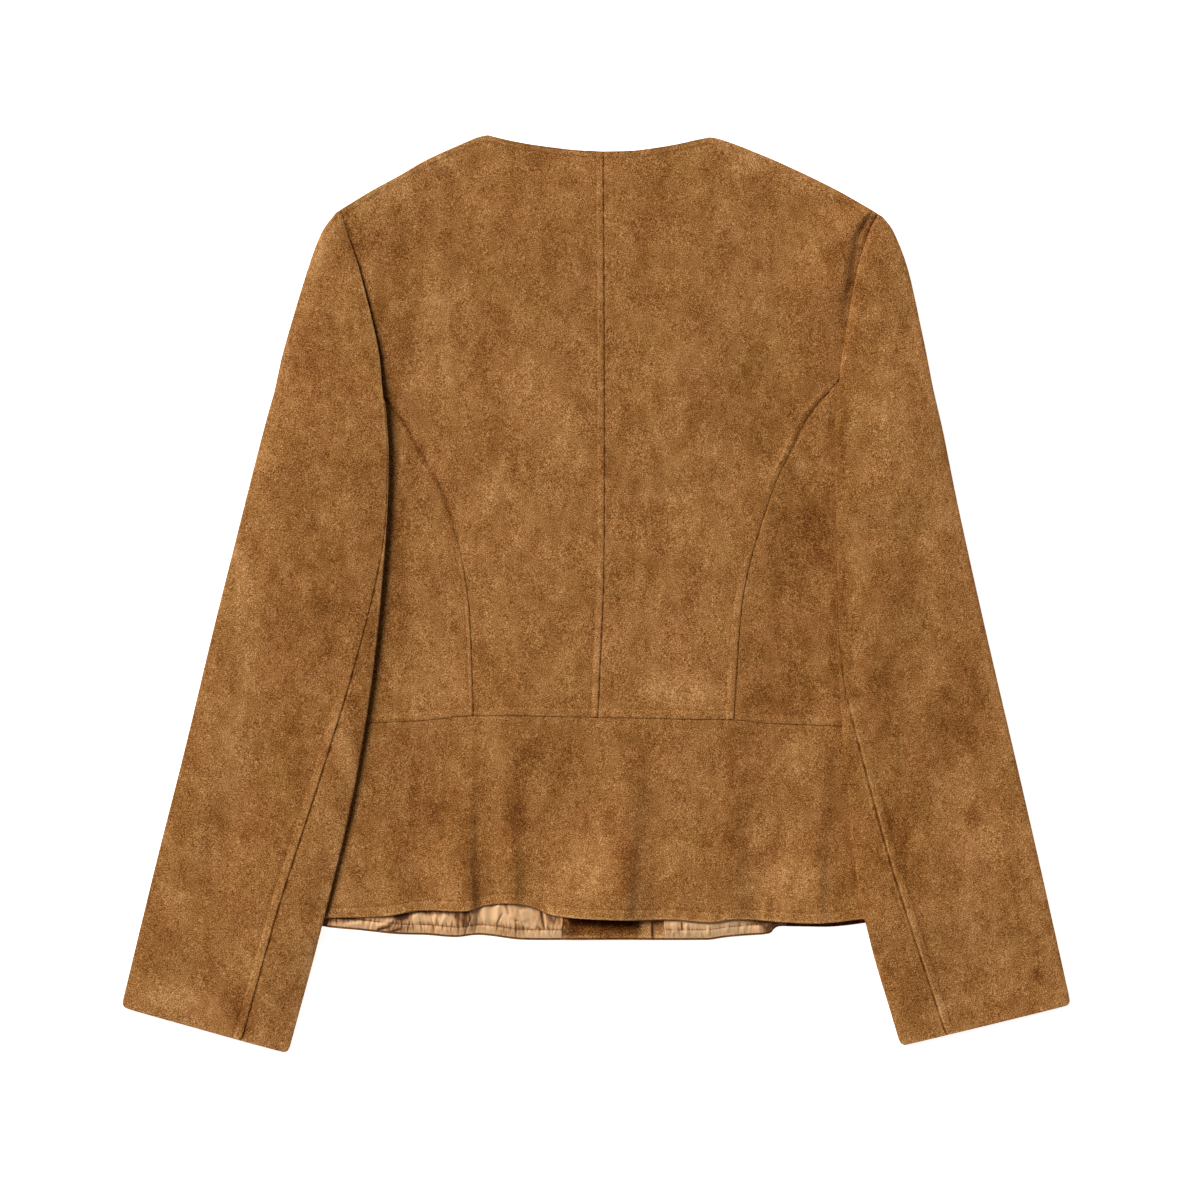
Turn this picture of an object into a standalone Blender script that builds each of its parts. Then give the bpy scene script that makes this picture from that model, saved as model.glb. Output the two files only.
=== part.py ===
"""A velour jacket with no collar, laid on its front with its back upwards.

Each piece that is cut from cloth is one closed wall: centre backs, side backs, a back peplum, fronts, front
peplums, two-piece sleeves, and the facings and linings that show past the back hem. The tables are in
millimetres and MM turns them to metres. +Z is up, +Y runs to the neck and +X to the wearer's right. The origin
is the middle of the footprint, on the surface that the jacket lies on.
"""

import math
from collections import namedtuple

import bmesh
import bpy
import numpy as np
from mathutils import Vector

MM = 0.001

# Cloth and seams.
VELOUR = 1.5
SATIN = 1.0
SEAM = 0.3
LAYER = VELOUR + SEAM
FINE_LAYER = SATIN + SEAM

# How the layers lie.
CENTRE_X = 6.0
LAP_RISE = LAYER + FINE_LAYER
LAP_START_X, LAP_FULL_X = -28.0, -12.0
BACK_RISE = LAP_RISE
BACK_FULL_REACH, BACK_EDGE_REACH = 50.0, 150.0
SHOULDER_FALL, SHOULDER_TOP_Y, SHOULDER_REACH, SHOULDER_SLOPE = 70.0, 343.0, 87.0, 0.51
HEM_RISE, HEM_RISE_TOP_Y, HEM_RISE_LENGTH = FINE_LAYER, -175.0, 20.0
SLEEVE_STEP_START, SLEEVE_STEP_LENGTH = 24.0, 21.0
SLEEVE_CLEARANCE = 0.6
HEM_FOOT_Y = -250.0

# Seams and edges of the body, from the neck down or from the centre out. The princess seams start where the
# armhole goes under the sleeve, and the side seams start at the armpit: the sleeves' tables place both.
CENTRE_BACK = ((6, 331.5), (7, 130), (6.5, 13), (4, -46), (2, -93.5))
NECK_LEFT = ((6, 331.5), (-11, 332.4), (-20, 333.2), (-37, 335.3), (-53, 337.7), (-69, 340.9), (-81, 344))
NECK_RIGHT = ((6, 331.5), (28, 332.1), (44, 334.1), (60, 336.8), (76, 340.4), (86, 342.4))
SHOULDER_LEFT = (
    (-81, 344), (-88, 342.4), (-101, 337), (-127, 325.2), (-147, 313.7), (-167.5, 302.5), (-190.6, 288.4)
)
SHOULDER_RIGHT = (
    (86, 342.4), (93, 341), (108, 335.8), (121, 330.6), (134.5, 325), (159, 313.7), (181.5, 302.5),
    (201, 291.4), (212, 284.8)
)
PRINCESS_LEFT = (
    (-141.5, 124), (-126, 96), (-115.5, 77), (-109, 58.5), (-101, 29), (-95, -9), (-92.3, -64), (-91.5, -92.5)
)
PRINCESS_RIGHT = ((160, 132), (145, 102), (137, 86), (125, 52), (115, 17), (109.5, -16.5), (104, -95.5))
SIDE_LEFT = ((-195.5, 10), (-184, -98))
SIDE_RIGHT = ((206.5, 10), (195, -100.5))
PEPLUM_SIDE_LEFT = ((-184, -98), (-199, -170), (-228, -243))
PEPLUM_SIDE_RIGHT = ((195, -100.5), (210, -170), (237, -243))
WAIST = (
    (-184, -98), (-136, -96.5), (-91.5, -92.5), (2, -93.5), (71, -95), (104, -95.5), (129, -98), (195, -100.5)
)
BACK_HEM = (
    (-228, -243), (-204, -244), (-157, -242.5), (-133, -238.5), (-97, -238.5), (-82, -234.5), (-65, -233),
    (-50, -235), (-30, -242), (27, -245), (60, -245), (86, -247), (105, -244.7), (137, -246.6), (160, -247.6),
    (179, -247), (201, -244.4), (237, -243)
)
FRONT_EDGE_LEFT = ((30, 247), (40, -98))
FRONT_EDGE_RIGHT = ((-8, 247), (-10, -98))
FRONT_NECK_LEFT = ((-81, 344), (-72, 302), (-42, 266), (0, 250), (30, 247))
FRONT_NECK_RIGHT = ((86, 342.4), (80, 302), (55, 268), (22, 251), (-8, 247))
PEPLUM_EDGE_LEFT = ((40, -98), (42, -260.3))
PEPLUM_EDGE_RIGHT = ((-10, -98), (-10, -260.3))
FRONT_WAIST_LEFT = ((-184, -98), (40, -98))
FRONT_WAIST_RIGHT = ((195, -100.5), (-10, -98))
FRONT_HEM_LEFT = (
    (-228, -243), (-205, -250.3), (-176, -253.4), (-150, -256.2), (-127, -256.9), (-105, -258.5),
    (-90, -256.9), (-78, -257.6), (-60, -260.1), (-42, -260.7), (0, -260.4), (42, -260.3)
)
FRONT_HEM_RIGHT = (
    (237, -243), (201, -248), (188, -249.7), (175, -250.7), (160, -250.6), (147, -250.4), (137.5, -250.4),
    (134, -252.4), (131.8, -255.2), (126, -256.5), (112, -257.4), (97, -258.8), (84, -260.6), (-10, -260.3)
)

# Shares of the front peplum's height between which the lining and the facing lie on it.
HEM_BAND_TOP, HEM_BAND_FOOT = 0.62, 0.99

# A peplum flute runs from its top to its foot and fades upwards. A negative height is a trough.
Flute = namedtuple("Flute", "top_x top_y foot_x foot_y half_width height")
FLUTES = (
    Flute(-142, -118, -148, -240, 10, 0.8),
    Flute(-112, -125, -114, -240, 11, 1.2),
    Flute(-92, -104, -92, -240, 8, -1.5),
    Flute(-76, -118, -66, -235, 13, 2.2),
    Flute(-57, -108, -48, -236, 9, -0.8),
    Flute(18, -112, 0, -244, 14, 0.9),
    Flute(58, -110, 50, -245, 18, 1.1),
    Flute(84, -120, 84, -245, 11, 0.8),
    Flute(107, -106, 106, -240, 9, -0.8),
    Flute(140, -120, 138, -245, 15, 1.0),
)

# One row for each section of a sleeve, from the shoulder to the cuff: the ends of the flat tube, its height, and
# the share of its width, from the inner end, at which the back and the front seam cross it. Above the armpit
# the inner end lies on the back armhole, and front_seam is where the front armhole lies.
Section = namedtuple("Section", "outer_x outer_y inner_x inner_y height back_seam front_seam")
SLEEVES = {
    "left": (
        Section(-195.4, 285.2, -190.6, 288.4, 3.4, 0.006, 0.50),
        Section(-206, 270, -185.5, 270, 4.4, 0.006, 0.30),
        Section(-216.4, 242, -176, 241, 5.2, 0.006, 0.14),
        Section(-230, 197, -162.5, 186, 5.5, 0.006, 0.10),
        Section(-236, 175, -159, 156, 5.5, 0.006, 0.14),
        Section(-241, 152, -156.3, 130, 5.5, 0.006, 0.32),
        Section(-249.5, 121, -154.7, 95.5, 5.5, 0.01, 0.62),
        Section(-264.5, 62, -157.5, 34, 5.5, 0.016, 0.43),
        Section(-287, -28, -166.5, -59, 5.5, 0.115, 0.19),
        Section(-308.5, -118, -181.5, -151, 5.5, 0.205, 0.12),
        Section(-331.2, -208, -203.3, -243.5, 5.5, 0.259, 0.19),
        Section(-356.1, -310.8, -230.8, -345.7, 5.5, 0.274, 0.21),
    ),
    "right": (
        Section(216.2, 282.2, 212, 284.8, 3.4, 0.006, 0.50),
        Section(224.4, 270.2, 205, 271, 4.4, 0.006, 0.30),
        Section(234.9, 242, 195.5, 241, 5.2, 0.006, 0.14),
        Section(244.9, 197, 185, 182, 5.5, 0.006, 0.10),
        Section(249.4, 175, 182, 160, 5.5, 0.006, 0.14),
        Section(253.9, 152, 179.5, 134, 5.5, 0.006, 0.32),
        Section(261.4, 119, 179, 100, 5.5, 0.006, 0.56),
        Section(272.9, 62, 179.5, 42, 5.5, 0.008, 0.40),
        Section(292.9, -28, 182, -52, 5.5, 0.02, 0.19),
        Section(313.9, -118, 189, -146, 5.5, 0.126, 0.14),
        Section(334.5, -208, 199.6, -236, 5.5, 0.22, 0.26),
        Section(357, -309, 228.9, -340.2, 5.5, 0.267, 0.23),
    ),
}
CAP_END = {"left": 4.42, "right": 4.07}
ARMPIT = 6.0
TUBE_SQUARENESS, CAP_SQUARENESS, TUBE_FLATNESS = 0.35, 0.8, 1.15

# Cells across and along each grid.
CAP_ROWS, ARMPIT_ROWS, LOWER_ROWS = 8, 4, 18
PRINCESS_ROWS = 9
NECK_COLUMNS, SHOULDER_COLUMNS = 4, 5
SIDE_BACK_COLUMNS = 5
PEPLUM_COLUMNS, PEPLUM_ROWS = 44, 6
FRONT_SHARES = (0.0, 0.1, 0.45, 0.70, 0.752, 0.80, 0.9, 1.0)
FRONT_NECK_ROWS = 4
PEPLUM_FRONT_COLUMNS, PEPLUM_FRONT_ROWS = 16, 4
UPPER_COLUMNS, UNDER_COLUMNS = 13, 8


def ease(share):
    """0 below 0, 1 above 1, and a soft step between them."""
    share = min(max(share, 0.0), 1.0)
    return share * share * (3.0 - 2.0 * share)


def read_rows(rows, places, at):
    """The rows' numbers at one place, on a smooth curve that goes through every row."""
    rows, places = np.asarray(rows, float), np.asarray(places, float)
    k = int(np.clip(np.searchsorted(places, at, side="right") - 1, 0, len(rows) - 2))
    span = places[k + 1] - places[k]
    share = (at - places[k]) / span

    def slope(i):
        low, high = max(i - 1, 0), min(i + 1, len(rows) - 1)
        return (rows[high] - rows[low]) / (places[high] - places[low]) * span

    start, end = rows[k], rows[k + 1]
    return (
        start * (1 + 2 * share) * (1 - share) ** 2
        + end * share**2 * (3 - 2 * share)
        + slope(k) * share * (1 - share) ** 2
        - slope(k + 1) * share**2 * (1 - share)
    )


def divide(line, shares):
    """Points of a line at shares of its length."""
    line = np.asarray(line, float)
    lengths = np.concatenate([[0], np.cumsum(np.linalg.norm(np.diff(line, axis=0), axis=1))])
    return np.array([read_rows(line, lengths, share * lengths[-1]) for share in shares])


def even(count):
    return [i / count for i in range(count + 1)]


def join(*runs):
    """Lines end to end, with the shared points once."""
    return np.concatenate([runs[0]] + [run[1:] for run in runs[1:]])


def span_patch(top, foot, start, end):
    """Grid of plan points between four edges, top and foot from start to end: a Coons patch."""
    columns, rows = len(top), len(start)
    u = np.linspace(0, 1, columns)[None, :, None]
    v = np.linspace(0, 1, rows)[:, None, None]
    across = (1 - v) * top[None] + v * foot[None]
    down = (1 - u) * start[:, None] + u * end[:, None]
    corners = (
        (1 - u) * (1 - v) * top[0] + u * (1 - v) * top[-1] + (1 - u) * v * foot[0] + u * v * foot[-1]
    )
    return across + down - corners


def inset(grid):
    """The grid with its four edges drawn in by half a seam."""
    grid = grid.copy()
    for axis in (0, 1):
        rows = np.moveaxis(grid, axis, 0)
        for edge, inner in ((0, 1), (-1, -2)):
            inward = rows[inner] - rows[edge]
            reach = np.linalg.norm(inward, axis=1, keepdims=True)
            rows[edge] += inward / np.maximum(reach, 1e-6) * SEAM / 2
    return grid


def lap(x):
    """Height of the left front's underside, which climbs over the right front's edge."""
    return LAP_RISE * ease((x - LAP_START_X) / (LAP_FULL_X - LAP_START_X))


def flute_height(x, y):
    total = 0.0
    for flute in FLUTES:
        down = (flute.top_y - y) / (flute.top_y - flute.foot_y)
        middle = flute.top_x + (flute.foot_x - flute.top_x) * down
        total += flute.height * ease(down) * math.exp(-(((x - middle) / flute.half_width) ** 2))
    return total


def back_height(x, y):
    """Height of the back's underside: it lies on the front's edges and stands higher over the front's lap."""
    reach = abs(x - CENTRE_X)
    rise = 1 - ease((reach - BACK_FULL_REACH) / (BACK_EDGE_REACH - BACK_FULL_REACH))
    shoulder_y = SHOULDER_TOP_Y - SHOULDER_SLOPE * max(reach - SHOULDER_REACH, 0.0)
    fall = ease((shoulder_y - y) / SHOULDER_FALL)
    hem = ease((HEM_RISE_TOP_Y - y) / HEM_RISE_LENGTH)
    return LAYER + BACK_RISE * rise * fall + HEM_RISE * hem + flute_height(x, y)


def section_at(side, at):
    table = SLEEVES[side]
    return Section(*read_rows(table, range(len(table)), at))


def sleeve_plan(side, at, share):
    """Plan point of a sleeve, a share of its width from the inner end."""
    row = section_at(side, at)
    inner, outer = np.array([row.inner_x, row.inner_y]), np.array([row.outer_x, row.outer_y])
    return inner + (outer - inner) * share


def under_end(side, share):
    """Where the under sleeve's top end crosses, from the armpit (share 0) round to the back armhole (share 1)."""
    return CAP_END[side] + (ARMPIT - CAP_END[side]) * (1 - share) ** 1.3


def sleeve_rows(side, first=0.0):
    """Places along a sleeve of its rows of corners. The under sleeve's rows start at its own end, first."""
    last = len(SLEEVES[side]) - 1
    cap = [CAP_END[side] * share for share in even(CAP_ROWS)]
    start = max(CAP_END[side], first)
    armpit = [start + (ARMPIT - start) * share for share in even(ARMPIT_ROWS)]
    lower = [ARMPIT + (last - ARMPIT) * share for share in even(LOWER_ROWS)]
    return (armpit if first else cap[:-1] + armpit) + lower[1:]


def back_armhole(side):
    return np.array([sleeve_plan(side, at, 0.0) for at in sleeve_rows(side)[: CAP_ROWS + 1]])


def front_armhole(side):
    places = sleeve_rows(side)[: CAP_ROWS + ARMPIT_ROWS + 1]
    return np.array([sleeve_plan(side, at, section_at(side, at).front_seam) for at in places])


def lower_armhole(side, count):
    """The hidden stretch of the back armhole, from the sleeve's inner fold to the armpit."""
    armpit_share = section_at(side, ARMPIT).front_seam
    points = []
    for share in even(count):
        points.append(sleeve_plan(side, under_end(side, 1 - share), armpit_share * share))
    return np.array(points)


def princess_seam(side, count):
    table = PRINCESS_LEFT if side == "left" else PRINCESS_RIGHT
    return divide([sleeve_plan(side, CAP_END[side], 0.0), *table], even(count))


def side_seam(side, count):
    table = SIDE_LEFT if side == "left" else SIDE_RIGHT
    return divide([lower_armhole(side, 1)[-1], *table], even(count))


def peplum_side(side, count):
    return divide(PEPLUM_SIDE_LEFT if side == "left" else PEPLUM_SIDE_RIGHT, even(count))


def waist_between(start_x, end_x, count):
    """Points of the back's waist seam between two places on it."""
    xs = [start_x + (end_x - start_x) * share for share in even(count)]
    return np.array([(x, read_rows(WAIST, [row[0] for row in WAIST], x)[1]) for x in xs])


def outline_under_sleeve(side):
    """The body's edge where a sleeve lies over it, closed through the middle of the back."""
    edge = join(lower_armhole(side, 6), side_seam(side, 2), peplum_side(side, 2))
    corner_x, top_y = edge[-1][0], edge[0][1]
    return np.concatenate([edge, [[corner_x, HEM_FOOT_Y], [CENTRE_X, HEM_FOOT_Y], [CENTRE_X, top_y]]])


def depth_inside(outline, x, y):
    """Distance from a closed outline, above 0 inside it."""
    start = outline
    step = np.roll(outline, -1, axis=0) - start
    to_point = np.array([x, y]) - start
    share = np.clip((to_point * step).sum(axis=1) / (step * step).sum(axis=1), 0, 1)
    distance = np.linalg.norm(to_point - step * share[:, None], axis=1).min()
    crosses = (start[:, 1] > y) != (start[:, 1] + step[:, 1] > y)
    with np.errstate(divide="ignore", invalid="ignore"):
        at_x = start[:, 0] + (y - start[:, 1]) / step[:, 1] * step[:, 0]
    inside = int((crosses & (x < at_x)).sum()) % 2
    return distance if inside else -distance


OUTLINES = {side: outline_under_sleeve(side) for side in SLEEVES}


def sleeve_rest_height(side, x, y):
    """Height of what a sleeve lies on: the surface, or the back of the body."""
    step = ease((depth_inside(OUTLINES[side], x, y) + SLEEVE_STEP_START) / SLEEVE_STEP_LENGTH)
    return step * (back_height(x, y) + VELOUR + SLEEVE_CLEARANCE) if step else 0.0


def sleeve_point(side, at, turn, inward):
    """Point of a sleeve's wall. turn goes once round, from the inner fold over the top; inward is 0 or 1."""
    row = section_at(side, at)
    wall = VELOUR * inward
    half_width = math.hypot(row.outer_x - row.inner_x, row.outer_y - row.inner_y) / 2
    share = 0.5 - 0.5 * math.cos(turn) * max(half_width - wall, 0.2) / half_width
    x, y = sleeve_plan(side, at, share)
    cap = 1 - ease(at / CAP_END[side])
    on_top = math.sin(turn) > 0
    squareness = TUBE_SQUARENESS + (CAP_SQUARENESS - TUBE_SQUARENESS) * cap * on_top
    swell = min(1.0, TUBE_FLATNESS * abs(math.sin(turn)) ** squareness)
    height = row.height / 2 + math.copysign(swell, math.sin(turn)) * (row.height / 2 - wall)
    return x, y, sleeve_rest_height(side, x, y) + height


def turn_of(share):
    """Turn from the inner fold over the top at which a share of the width is reached."""
    return math.acos(1 - 2 * min(max(share, 0.0), 1.0))


def seam_turn(side, at, turn):
    """Turn that half a seam takes up, where the wall runs round at this turn."""
    row = section_at(side, at)
    half_width = math.hypot(row.outer_x - row.inner_x, row.outer_y - row.inner_y) / 2
    return SEAM * 0.75 / math.hypot(half_width * math.sin(turn), 3.0)


def new_material(name, colour, roughness):
    material = bpy.data.materials.new(name)
    material.use_nodes = True
    shader = material.node_tree.nodes["Principled BSDF"]
    shader.inputs["Base Color"].default_value = (*colour, 1.0)
    shader.inputs["Roughness"].default_value = roughness
    shader.inputs["Metallic"].default_value = 0.0
    shader.inputs["Sheen Weight"].default_value = 0.3
    material.diffuse_color = (*colour, 1.0)
    return material


def new_wall(name, columns, rows, place, material, collection):
    """A block of columns by rows cells, one cell thick, with each corner (u, v, w) moved to place(u, v, w)."""
    mesh = bpy.data.meshes.new(name)
    work = bmesh.new()
    bmesh.ops.create_grid(work, x_segments=columns, y_segments=rows, size=0.5)
    raised = bmesh.ops.extrude_face_region(work, geom=work.faces[:])["geom"]
    bmesh.ops.translate(work, vec=(0, 0, 1), verts=[item for item in raised if isinstance(item, bmesh.types.BMVert)])
    bmesh.ops.recalc_face_normals(work, faces=work.faces)
    for corner in work.verts:
        corner.co = Vector(place(corner.co.x + 0.5, corner.co.y + 0.5, corner.co.z)) * MM
    if work.calc_volume(signed=True) < 0:
        bmesh.ops.reverse_faces(work, faces=work.faces)
    work.to_mesh(mesh)
    work.free()
    mesh.shade_smooth()
    mesh.set_sharp_from_angle(angle=math.radians(50))
    mesh.materials.append(material)
    piece = bpy.data.objects.new(name, mesh)
    collection.objects.link(piece)
    return piece


def lay_panel(name, grid, height, thickness, material, collection):
    """A panel over a grid of plan points, with its underside at height(x, y)."""
    rows, columns = grid.shape[0] - 1, grid.shape[1] - 1

    def place(u, v, w):
        x, y = grid[round(v * rows), round(u * columns)]
        return x, y, height(x, y) + thickness * w

    return new_wall(name, columns, rows, place, material, collection)


def make_backs(material, collection):
    for side, neck, shoulder in (("left", NECK_LEFT, SHOULDER_LEFT), ("right", NECK_RIGHT, SHOULDER_RIGHT)):
        top = join(divide(neck, even(NECK_COLUMNS)), divide(shoulder, even(SHOULDER_COLUMNS)))
        outer = join(back_armhole(side), princess_seam(side, PRINCESS_ROWS))
        centre = divide(CENTRE_BACK, even(CAP_ROWS + PRINCESS_ROWS))
        foot = waist_between(centre[-1][0], outer[-1][0], NECK_COLUMNS + SHOULDER_COLUMNS)
        grid = inset(span_patch(top, foot, centre, outer))
        lay_panel(f"back_{side}", grid, back_height, VELOUR, material, collection)


def make_side_backs(material, collection):
    for side in SLEEVES:
        top = lower_armhole(side, SIDE_BACK_COLUMNS)
        inner, outer = princess_seam(side, PRINCESS_ROWS), side_seam(side, PRINCESS_ROWS)
        foot = waist_between(inner[-1][0], outer[-1][0], SIDE_BACK_COLUMNS)
        grid = inset(span_patch(top, foot, inner, outer))
        lay_panel(f"side_back_{side}", grid, back_height, VELOUR, material, collection)


def make_peplum_back(material, collection):
    left, right = peplum_side("left", PEPLUM_ROWS), peplum_side("right", PEPLUM_ROWS)
    top = waist_between(left[0][0], right[0][0], PEPLUM_COLUMNS)
    foot = divide(BACK_HEM, even(PEPLUM_COLUMNS))
    grid = inset(span_patch(top, foot, left, right))
    lay_panel("peplum_back", grid, back_height, VELOUR, material, collection)


def front_height(side):
    return (lambda x, y: lap(x)) if side == "left" else (lambda x, y: 0.0)


def make_fronts(material, collection):
    for side, shoulder, neck, edge, waist in (
        ("left", SHOULDER_LEFT, FRONT_NECK_LEFT, FRONT_EDGE_LEFT, FRONT_WAIST_LEFT),
        ("right", SHOULDER_RIGHT, FRONT_NECK_RIGHT, FRONT_EDGE_RIGHT, FRONT_WAIST_RIGHT),
    ):
        outer = join(front_armhole(side), side_seam(side, PRINCESS_ROWS))
        top = divide([outer[0], *shoulder[-2::-1]], FRONT_SHARES)
        foot = divide(waist, FRONT_SHARES)
        edge_rows = CAP_ROWS + ARMPIT_ROWS + PRINCESS_ROWS - FRONT_NECK_ROWS
        inner = join(divide(neck, even(FRONT_NECK_ROWS)), divide(edge, even(edge_rows)))
        grid = inset(span_patch(top, foot, outer, inner))
        lay_panel(f"front_{side}", grid, front_height(side), VELOUR, material, collection)


def peplum_front_grid(side):
    edge, waist, hem = {
        "left": (PEPLUM_EDGE_LEFT, FRONT_WAIST_LEFT, FRONT_HEM_LEFT),
        "right": (PEPLUM_EDGE_RIGHT, FRONT_WAIST_RIGHT, FRONT_HEM_RIGHT),
    }[side]
    shares = FRONT_SHARES if side == "left" else even(PEPLUM_FRONT_COLUMNS)
    outer, inner = peplum_side(side, PEPLUM_FRONT_ROWS), divide(edge, even(PEPLUM_FRONT_ROWS))
    return span_patch(divide(waist, shares), divide(hem, shares), outer, inner)


def hem_band(grid, columns):
    """The part of a front peplum's grid that the lining or the facing covers, down to just above the hem."""
    top, foot = HEM_BAND_TOP, HEM_BAND_FOOT
    rows = grid.shape[0] - 1
    chosen = grid[:, columns]
    band = []
    for share in even(2):
        place = (top + (foot - top) * share) * rows
        low = min(int(place), rows - 1)
        band.append(chosen[low] + (chosen[low + 1] - chosen[low]) * (place - low))
    return inset(np.array(band))


def make_peplum_fronts(velour, satin, collection):
    for side, lining_columns, facing_columns in (
        ("left", slice(1, 5), slice(4, 8)),
        ("right", slice(6, 13), slice(12, 17)),
    ):
        grid = peplum_front_grid(side)
        height = front_height(side)
        lay_panel(f"peplum_front_{side}", inset(grid), height, VELOUR, velour, collection)

        def on_front(x, y, height=height):
            return height(x, y) + LAYER

        lay_panel(f"lining_{side}", hem_band(grid, lining_columns), on_front, SATIN, satin, collection)
        lay_panel(f"facing_{side}", hem_band(grid, facing_columns), on_front, SATIN, velour, collection)


def make_sleeve(side, material, collection):
    upper_rows, under_rows = CAP_ROWS + ARMPIT_ROWS + LOWER_ROWS, ARMPIT_ROWS + LOWER_ROWS

    def place_upper(u, v, w):
        at = sleeve_rows(side)[round(v * upper_rows)]
        row = section_at(side, at)
        start, end = turn_of(row.back_seam), 2 * math.pi - turn_of(row.front_seam)
        start += seam_turn(side, at, start)
        end -= seam_turn(side, at, end)
        return sleeve_point(side, at, start + (end - start) * u, w)

    def place_under(u, v, w):
        at = sleeve_rows(side, under_end(side, u))[round(v * under_rows)]
        start = 2 * math.pi - turn_of(section_at(side, max(at, ARMPIT)).front_seam)
        end = 2 * math.pi + turn_of(section_at(side, at).back_seam)
        start += seam_turn(side, at, start)
        end -= seam_turn(side, at, end)
        return sleeve_point(side, at, start + (end - start) * u, w)

    new_wall(f"upper_sleeve_{side}", UPPER_COLUMNS, upper_rows, place_upper, material, collection)
    new_wall(f"under_sleeve_{side}", UNDER_COLUMNS, under_rows, place_under, material, collection)


def main():
    for leftover in list(bpy.data.objects):
        bpy.data.objects.remove(leftover, do_unlink=True)
    bpy.context.scene.unit_settings.system = "METRIC"
    bpy.context.scene.unit_settings.scale_length = 1.0
    jacket = bpy.data.collections.new("velour_jacket")
    bpy.context.scene.collection.children.link(jacket)

    velour = new_material("velour", (0.30, 0.133, 0.039), 0.9)
    satin = new_material("lining_satin", (0.73, 0.45, 0.225), 0.45)

    make_backs(velour, jacket)
    make_side_backs(velour, jacket)
    make_peplum_back(velour, jacket)
    make_fronts(velour, jacket)
    make_peplum_fronts(velour, satin, jacket)
    for side in SLEEVES:
        make_sleeve(side, velour, jacket)


main()
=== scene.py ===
"""The looks of a velour jacket with no collar, laid on its front with its back upwards.

Every piece of cloth is a thin closed shell over the seam lines and sleeve sections of its solid in
the frame. The shell adds rolled edges, pressed seam allowances, flutes, creases, gathers and the
brushing of the pile, and its colour carries painted light and painted shade. The tables are in
millimetres, and MM turns them to metres. +Z is up, +Y runs to the neck and +X to the wearer's
right.
"""

import math
from collections import namedtuple
from functools import partial

import bpy
import numpy as np
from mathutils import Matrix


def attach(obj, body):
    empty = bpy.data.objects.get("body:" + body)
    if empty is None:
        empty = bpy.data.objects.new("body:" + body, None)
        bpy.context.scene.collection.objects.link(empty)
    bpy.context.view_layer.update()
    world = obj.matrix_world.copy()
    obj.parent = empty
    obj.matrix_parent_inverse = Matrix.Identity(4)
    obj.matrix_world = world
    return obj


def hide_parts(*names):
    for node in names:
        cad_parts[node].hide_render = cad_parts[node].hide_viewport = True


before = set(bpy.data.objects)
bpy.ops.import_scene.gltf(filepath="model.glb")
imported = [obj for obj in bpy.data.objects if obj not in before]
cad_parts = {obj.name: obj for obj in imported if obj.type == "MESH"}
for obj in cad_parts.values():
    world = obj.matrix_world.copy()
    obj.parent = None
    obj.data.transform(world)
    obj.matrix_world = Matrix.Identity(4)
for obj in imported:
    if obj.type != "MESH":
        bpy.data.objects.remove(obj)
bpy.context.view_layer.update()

MM = 0.001



def rows_of(kind, *rows):
    """A table whose rows are all of one kind."""
    return tuple(kind(*row) for row in rows)


# Cloth and seams.
VELOUR = 1.5
SATIN = 1.0
SEAM, SEAM_OVERLAP = 0.3, 0.05
LAYER = VELOUR + SEAM
FINE_LAYER = SATIN + SEAM
FINE_STEP, TUBE_STEP, PLAIN_STEP, GATHER_STEP = 2.2, 2.6, 4.5, 0.5
EDGE_STEPS = (0.1, 0.3, 0.6, 1.0, 1.6)
PRESSED_STEPS = (*EDGE_STEPS, 2.4, 3.4, 4.2, 4.8, 5.3, 5.8, 6.4, 7.2)
HEM_STEPS = (*EDGE_STEPS, 2.8, 4.4, 6.0, 7.2, 7.9, 8.3, 8.7, 9.1, 9.8, 10.8)

# How the layers lie.
CENTRE_X = 6.0
LAP_RISE = LAYER + FINE_LAYER
LAP_START_X, LAP_FULL_X = -28.0, -12.0
BACK_RISE = LAP_RISE
BACK_FULL_REACH, BACK_EDGE_REACH = 50.0, 150.0
SHOULDER_FALL, SHOULDER_TOP_Y, SHOULDER_REACH, SHOULDER_SLOPE = 70.0, 343.0, 87.0, 0.51
HEM_RISE, HEM_RISE_TOP_Y, HEM_RISE_LENGTH = FINE_LAYER, -175.0, 20.0
SLEEVE_STEP_START, SLEEVE_STEP_LENGTH, SLEEVE_BRIDGE = 24.0, 21.0, 78.0
SLEEVE_CLEARANCE = 0.6
HEM_FOOT_Y = -250.0
DRAPE_FLOOR = -0.25
SOFT_END = 0.3
UNDULATION_LENGTHS, UNDULATION_HEIGHT = (26, 120), 0.16

# Round widths and heights of the pieces, which set how many cells each one has.
BACK_WIDTH, SIDE_BACK_WIDTH = 190, 90
PEPLUM_WIDTH, PEPLUM_HEIGHT = 465, 150
FRONT_WIDTH, FRONT_HEIGHT = 150, 440
FRONT_PEPLUM_WIDTH, FRONT_PEPLUM_HEIGHT, BAND_HEIGHT = 240, 160, 57
UPPER_SLEEVE_WIDTH, UPPER_SLEEVE_LENGTH = 230, 640
UNDER_SLEEVE_WIDTH, UNDER_SLEEVE_LENGTH = 60, 500
CUFF_ROW_LENGTH = 106

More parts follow.
